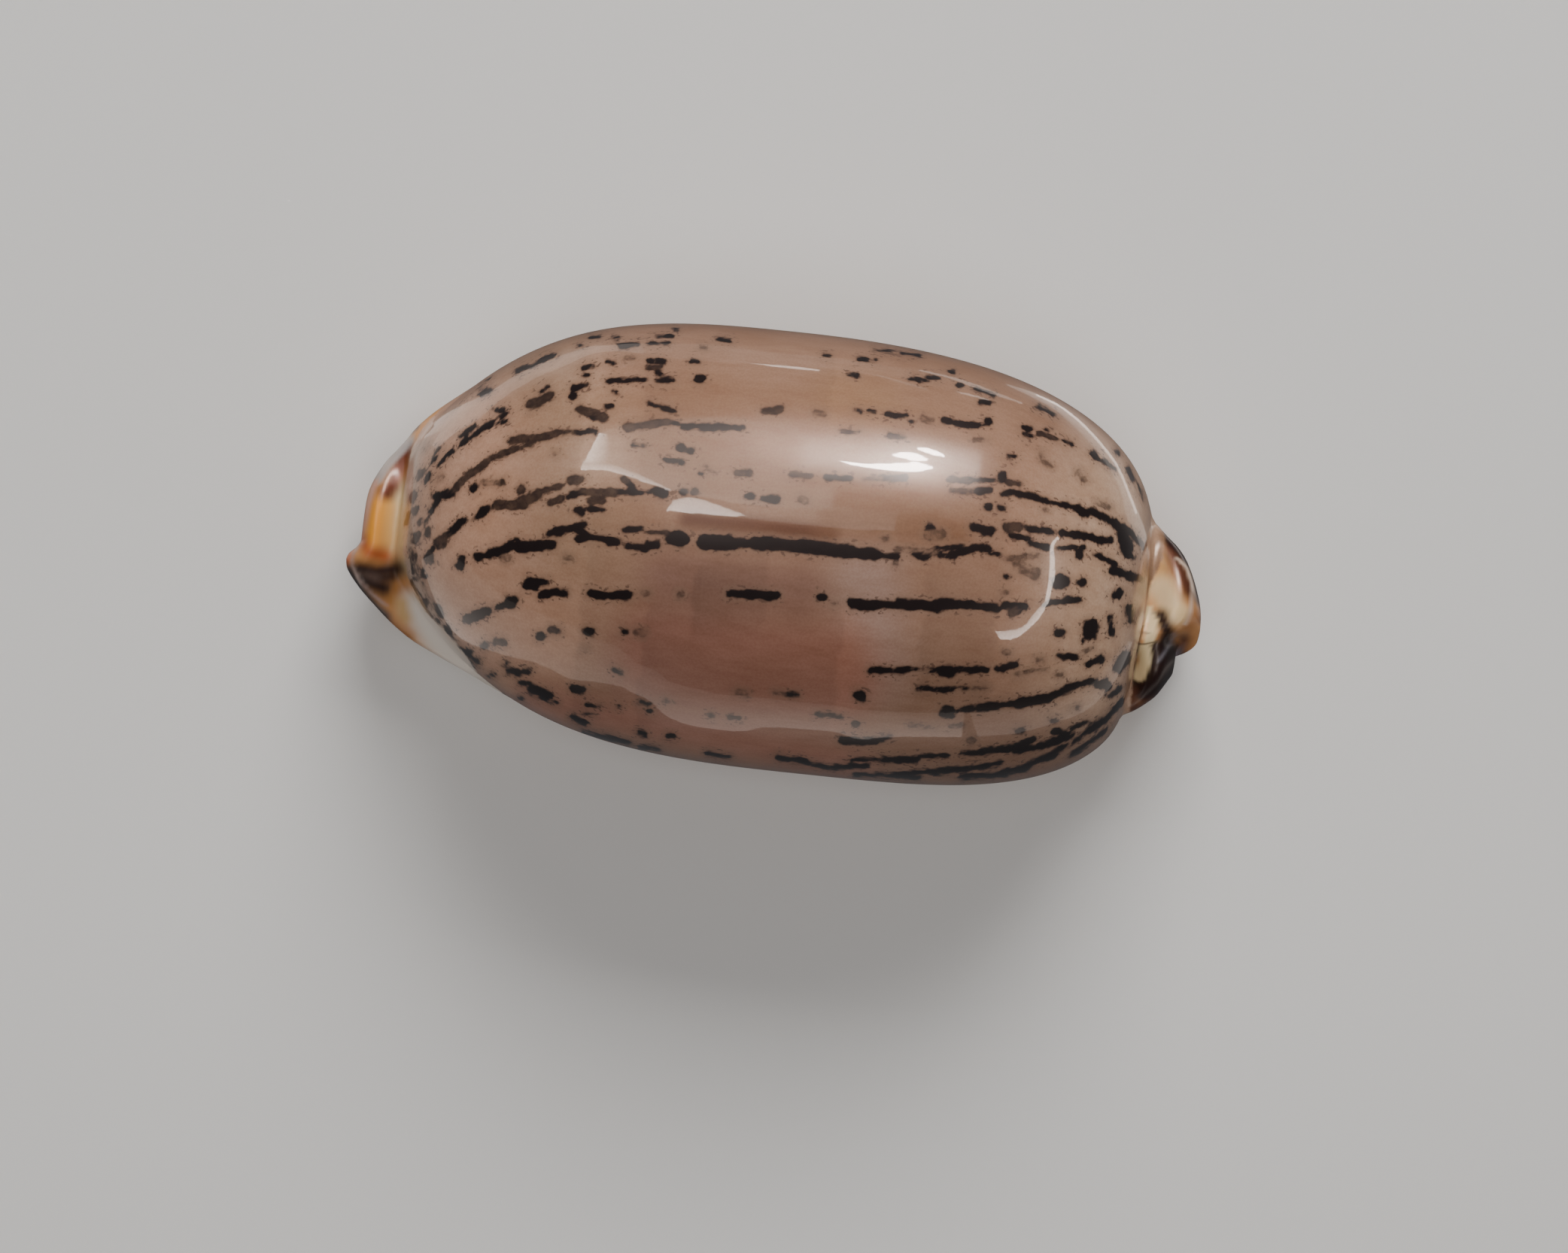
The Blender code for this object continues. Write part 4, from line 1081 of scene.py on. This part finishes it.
# Pale cards round the shell, seen only in its gloss. Each is given by where its reflection shows:
# two lines of points in millimetres, as seen from above, and the brightness along each line, as one
# number or as two for its ends. Each card stands a little further off than the one before.
cards = {
    "away": 300,
    "apart": 3,
    "tint": "#fff1e8",
    "rowsAcross": 7,
    "rowsPerPoint": 12,
    "strips": [
        # the window's three bright panes
        ([(2, 4.02), (3.2, 4.02), (4.4, 4.16), (5.2, 4.28), (5.75, 4.16)],
         [(2.2, 3.97), (3.2, 3.86), (4.4, 3.84), (5.2, 3.93), (5.75, 4.08)], 220, 220),
        ([(4.15, 4.5), (4.6, 4.62), (5.1, 4.6), (5.5, 4.45)],
         [(4.15, 4.44), (4.6, 4.36), (5.1, 4.34), (5.5, 4.4)], 220, 220),
        ([(5.05, 4.85), (5.4, 4.88), (5.8, 4.8), (6.15, 4.68)],
         [(5.05, 4.8), (5.4, 4.7), (5.8, 4.62), (6.15, 4.6)], 200, 200),
        # two pale patches with crisp lower edges
        ([(-7.9, 2.9), (-7.8, 3.2), (-7.65, 3.6), (-7.45, 4.1)],
         [(-7.1, 2.9), (-7, 3.2), (-7, 3.6), (-7.1, 4.1)], 25, 4),
        ([(-8.05, 2.6), (-7, 2.67), (-6, 2.5), (-5, 2.28), (-4.4, 2.15)],
         [(-7.95, 3), (-7, 2.95), (-6, 2.75), (-5, 2.42), (-4.4, 2.2)], 22, 8),
        ([(-4.5, 1.35), (-3.5, 1.36), (-2.6, 1.38), (-1.4, 1.45)],
         [(-4.25, 1.8), (-3.6, 1.97), (-2.6, 1.8), (-1.4, 1.5)], 27, 16),
        # the soft glow round the panes
        ([(0.5, 5.2), (3, 5.35), (5, 5.35), (7.6, 5.1)],
         [(0.5, 4.2), (3, 4.3), (5, 4.4), (7.6, 4.3)], 0, 9),
        ([(0.5, 4.2), (3, 4.3), (5, 4.4), (7.6, 4.3)],
         [(0.5, 3.1), (3, 2.95), (5, 2.95), (7.6, 3.2)], 9, 0),
        # the wide pale zone to the left of them, with its crisp lower edge
        ([(-8.05, 2.6), (-7, 2.67), (-6, 2.5), (-5, 2.28), (-3.8, 2.12), (-2, 1.95), (0, 1.95), (2, 2.1)],
         [(-7.5, 4.1), (-6.6, 4.5), (-6, 4.7), (-5, 4.9), (-3.8, 5.1), (-2, 5.3), (0, 5.3), (2, 5.3)],
         3.2, 1.8),
        ([(-1.4, 1.4), (0, 1.36), (2, 1.36), (4.5, 1.5)],
         [(-1.4, 1.95), (0, 2.1), (2, 2.2), (4.5, 2.3)], 2.5, 1.2),
        # a bent bright line towards the spire end
        ([(10.92, 1.95), (10.68, 1.6), (10.72, 1), (10.76, 0.2), (10.68, -0.65)],
         [(11, 1.9), (10.82, 1.6), (10.92, 1), (10.95, 0.2), (10.85, -0.6)], 24, 24),
        ([(10.68, -0.65), (10.3, -1.2), (9.9, -1.75), (9.3, -1.95), (8.85, -2)],
         [(10.85, -0.6), (10.55, -1.3), (10.1, -1.85), (9.7, -2.2), (9.1, -2.3)], 14, 24),
        # the wide zone low on the spire side
        ([(-13.9, -1.6), (-13.5, -2.5), (-13, -3.4), (-12.5, -4.1), (-12, -4.5), (-11, -4.82), (-10, -5),
          (-9, -5.15), (-8.2, -5.4), (-7.7, -5.6), (-6.5, -5.65), (-5.5, -5.75), (-5, -5.95), (-4.3, -6.2),
          (-3.8, -6.6), (-2.7, -6.95), (-1.5, -7), (-0.5, -6.95), (0, -6.78), (1.5, -6.66), (3, -6.62),
          (4, -6.8), (5, -6.62), (6.5, -6.45), (8, -6.3)],
         [(-13, -0.95), (-12.3, -1.5), (-11.6, -2), (-10.9, -2.45), (-10.5, -2.7), (-9.8, -3), (-9, -3.2),
          (-8.2, -3.4), (-7.4, -3.6), (-6.9, -3.9), (-6, -4.1), (-5.4, -4.5), (-4.9, -4.8), (-4.2, -5),
          (-3.7, -5.3), (-2.7, -5.5), (-1.5, -5.6), (-0.5, -5.6), (0, -5.6), (1.5, -5.6), (3, -5.6),
          (4, -5.65), (5, -5.6), (6.5, -5.5), (8, -5.3)], (1.15, 2.6), (0.5, 0.8)),
        ([(8.6, -6.2), (10, -5.95), (11.5, -5.4), (12.8, -4.7), (13.5, -3.9), (14.1, -2.6), (14.28, -1.9)],
         [(8.2, -5.3), (9.6, -5.05), (11, -4.75), (12.2, -4.25), (13, -3.5), (13.65, -2.5), (14.15, -1.85)],
         (1.4, 0.8), (0.8, 0.5)),
        # the margin at the front and along the outer lip's side
        ([(-14, -1.5), (-14.25, -0.8), (-14.5, 0.2), (-14.75, 1.2), (-14.75, 2.4), (-14.45, 3.2)],
         [(-13.7, -1.35), (-13.45, -0.4), (-13.6, 0.3), (-13.9, 1.3), (-13.9, 2.2), (-13.7, 2.8)],
         0.6, 0.5),
        ([(-14.5, 3.2), (-13.8, 4), (-13, 4.6), (-12, 5.2), (-11, 6), (-10, 6.6), (-9, 7.1), (-8.2, 7.45),
          (-7.4, 7.6), (-6.2, 7.8)],
         [(-13.8, 2.8), (-13, 3.6), (-12.2, 4.2), (-11.7, 4.75), (-11, 5.4), (-10, 6.1), (-9, 6.65),
          (-8, 7.2), (-7, 7.4), (-6, 7.4)], 1.1, 1.3),
        ([(-6.2, 7.8), (-4, 8), (-1, 8), (2, 8), (4.5, 7.9)],
         [(-6, 7.4), (-4, 7.36), (-1, 7.5), (2, 7.6), (4.5, 7.5)], 0.5, 0.5),
        ([(-2.8, 7.5), (-1.5, 7.53), (0, 7.53), (0.9, 7.5)],
         [(-2.8, 7.46), (-1.5, 7.45), (0, 7.44), (0.9, 7.46)], 11, 11),
        ([(1, 7.68), (2.5, 7.65), (4, 7.42), (5.2, 7.2)],
         [(1, 7.62), (2.5, 7.59), (4, 7.36), (5.2, 7.15)], 1.5, 1.5),
        ([(4.8, 7.92), (6, 7.78), (7, 7.6), (8, 7.32), (9, 7.05)],
         [(4.8, 7.86), (6, 7.7), (7, 7.45), (8, 7.2), (9, 6.98)], 2.2, 2.2),
        ([(6.4, 7.22), (7, 7.16), (7.7, 7.02)], [(6.4, 7.17), (7, 7.08), (7.7, 6.98)], 4, 4),
        # the long pale line down the spire end, brightest along its outer side
        ([(9.5, 7.45), (10.5, 7.08), (11.5, 6.45), (12.3, 5.75), (13, 4.98), (13.5, 4.1), (13.95, 3.2)],
         [(9.48, 7.4), (10.46, 7.02), (11.44, 6.38), (12.23, 5.68), (12.92, 4.92), (13.42, 4.05),
          (13.87, 3.15)], 4.5, 4.5),
        ([(8.3, 7.72), (9.5, 7.45), (10.5, 7.08), (11.5, 6.45), (12.3, 5.75), (13, 4.98), (13.5, 4.1),
          (14, 3.2), (14.4, 2.3), (14.55, 1.4)],
         [(8.3, 7.66), (9.4, 7.28), (10.3, 6.9), (11.2, 6.25), (12.05, 5.5), (12.75, 4.7), (13.2, 4),
          (13.55, 3), (14.1, 2.1), (14.4, 1.3)], 1.2, 0.9),
    ],
}


def alongLine(points, share):
    # evenly spread places on a smooth line through a few points
    p = np.array(points, float)
    reach = np.concatenate([[0], np.cumsum(np.hypot(*np.diff(p, axis=0).T))])
    reach = reach / reach[-1]
    return np.stack([curveThrough(list(zip(reach, p[:, i])), share) for i in (0, 1)], -1)


def reflectionCard(number, edge, fade, bright, dim, tree):
    # a sheet whose mirror image in the shell fills the band between the two lines
    across = np.linspace(0, 1, cards["rowsAcross"])
    along = np.linspace(0, 1, cards["rowsPerPoint"] * len(edge))
    away = cards["away"] + cards["apart"] * number
    a, b = alongLine(edge, along), alongLine(fade, along)
    spots = (a[:, None] + (b - a)[:, None] * across[None, :, None]).reshape(-1, 2)
    eye = camera.location
    places = []
    for sx, sy in spots:
        ray = (Vector((sx, sy - centre[1], shell["middleHeight"])) * mm - eye).normalized()
        hit, normal, index, _ = tree.ray_cast(eye, ray)
        if hit is None:
            return None
        corners = mesh.polygons[index].vertices
        weights = [1 / ((mesh.vertices[c].co - hit).length + 1e-7) for c in corners]
        normals = (mesh.vertices[c].normal * w for c, w in zip(corners, weights))
        normal = sum(normals, Vector()).normalized()
        places.append(hit + (ray - 2 * ray.dot(normal) * normal) * away * mm)
    index = np.arange(len(places)).reshape(len(along), len(across))
    sheet = bpy.data.meshes.new("card")
    sheet.from_pydata(places, [], gridFaces(index).tolist())
    bright, dim = (np.interp(along, (0, 1), np.ones(2) * v)[:, None] for v in (bright, dim))
    level = (bright + (dim - bright) * across).astype(np.float32).ravel()
    sheet.attributes.new("brightness", "FLOAT", "POINT").data.foreach_set("value", level)
    card = bpy.data.objects.new(f"card{number}", sheet)
    scene.collection.objects.link(card)
    for ray in ("camera", "diffuse", "shadow", "transmission", "volume_scatter"):
        setattr(card, "visible_" + ray, False)
    return card


def litCard():
    # a plain glowing card
    material = bpy.data.materials.new("litCard")
    t = NodeTree(material)
    level = t.add("ShaderNodeAttribute", attribute_name="brightness").outputs["Fac"]
    glow = t.add("ShaderNodeEmission", {"Color": colour(cards["tint"]), "Strength": level})
    t.add("ShaderNodeOutputMaterial", {"Surface": glow.outputs[0]})
    return material


cardLight = litCard()
shellTree = BVHTree.FromObject(cowrie, bpy.context.evaluated_depsgraph_get())
for number, strip in enumerate(cards["strips"]):
    card = reflectionCard(number, *strip, shellTree)
    if card is None:
        print("card", number, "misses the shell")
        continue
    card.data.materials.append(cardLight)
print("cards placed")

print("studio ready")
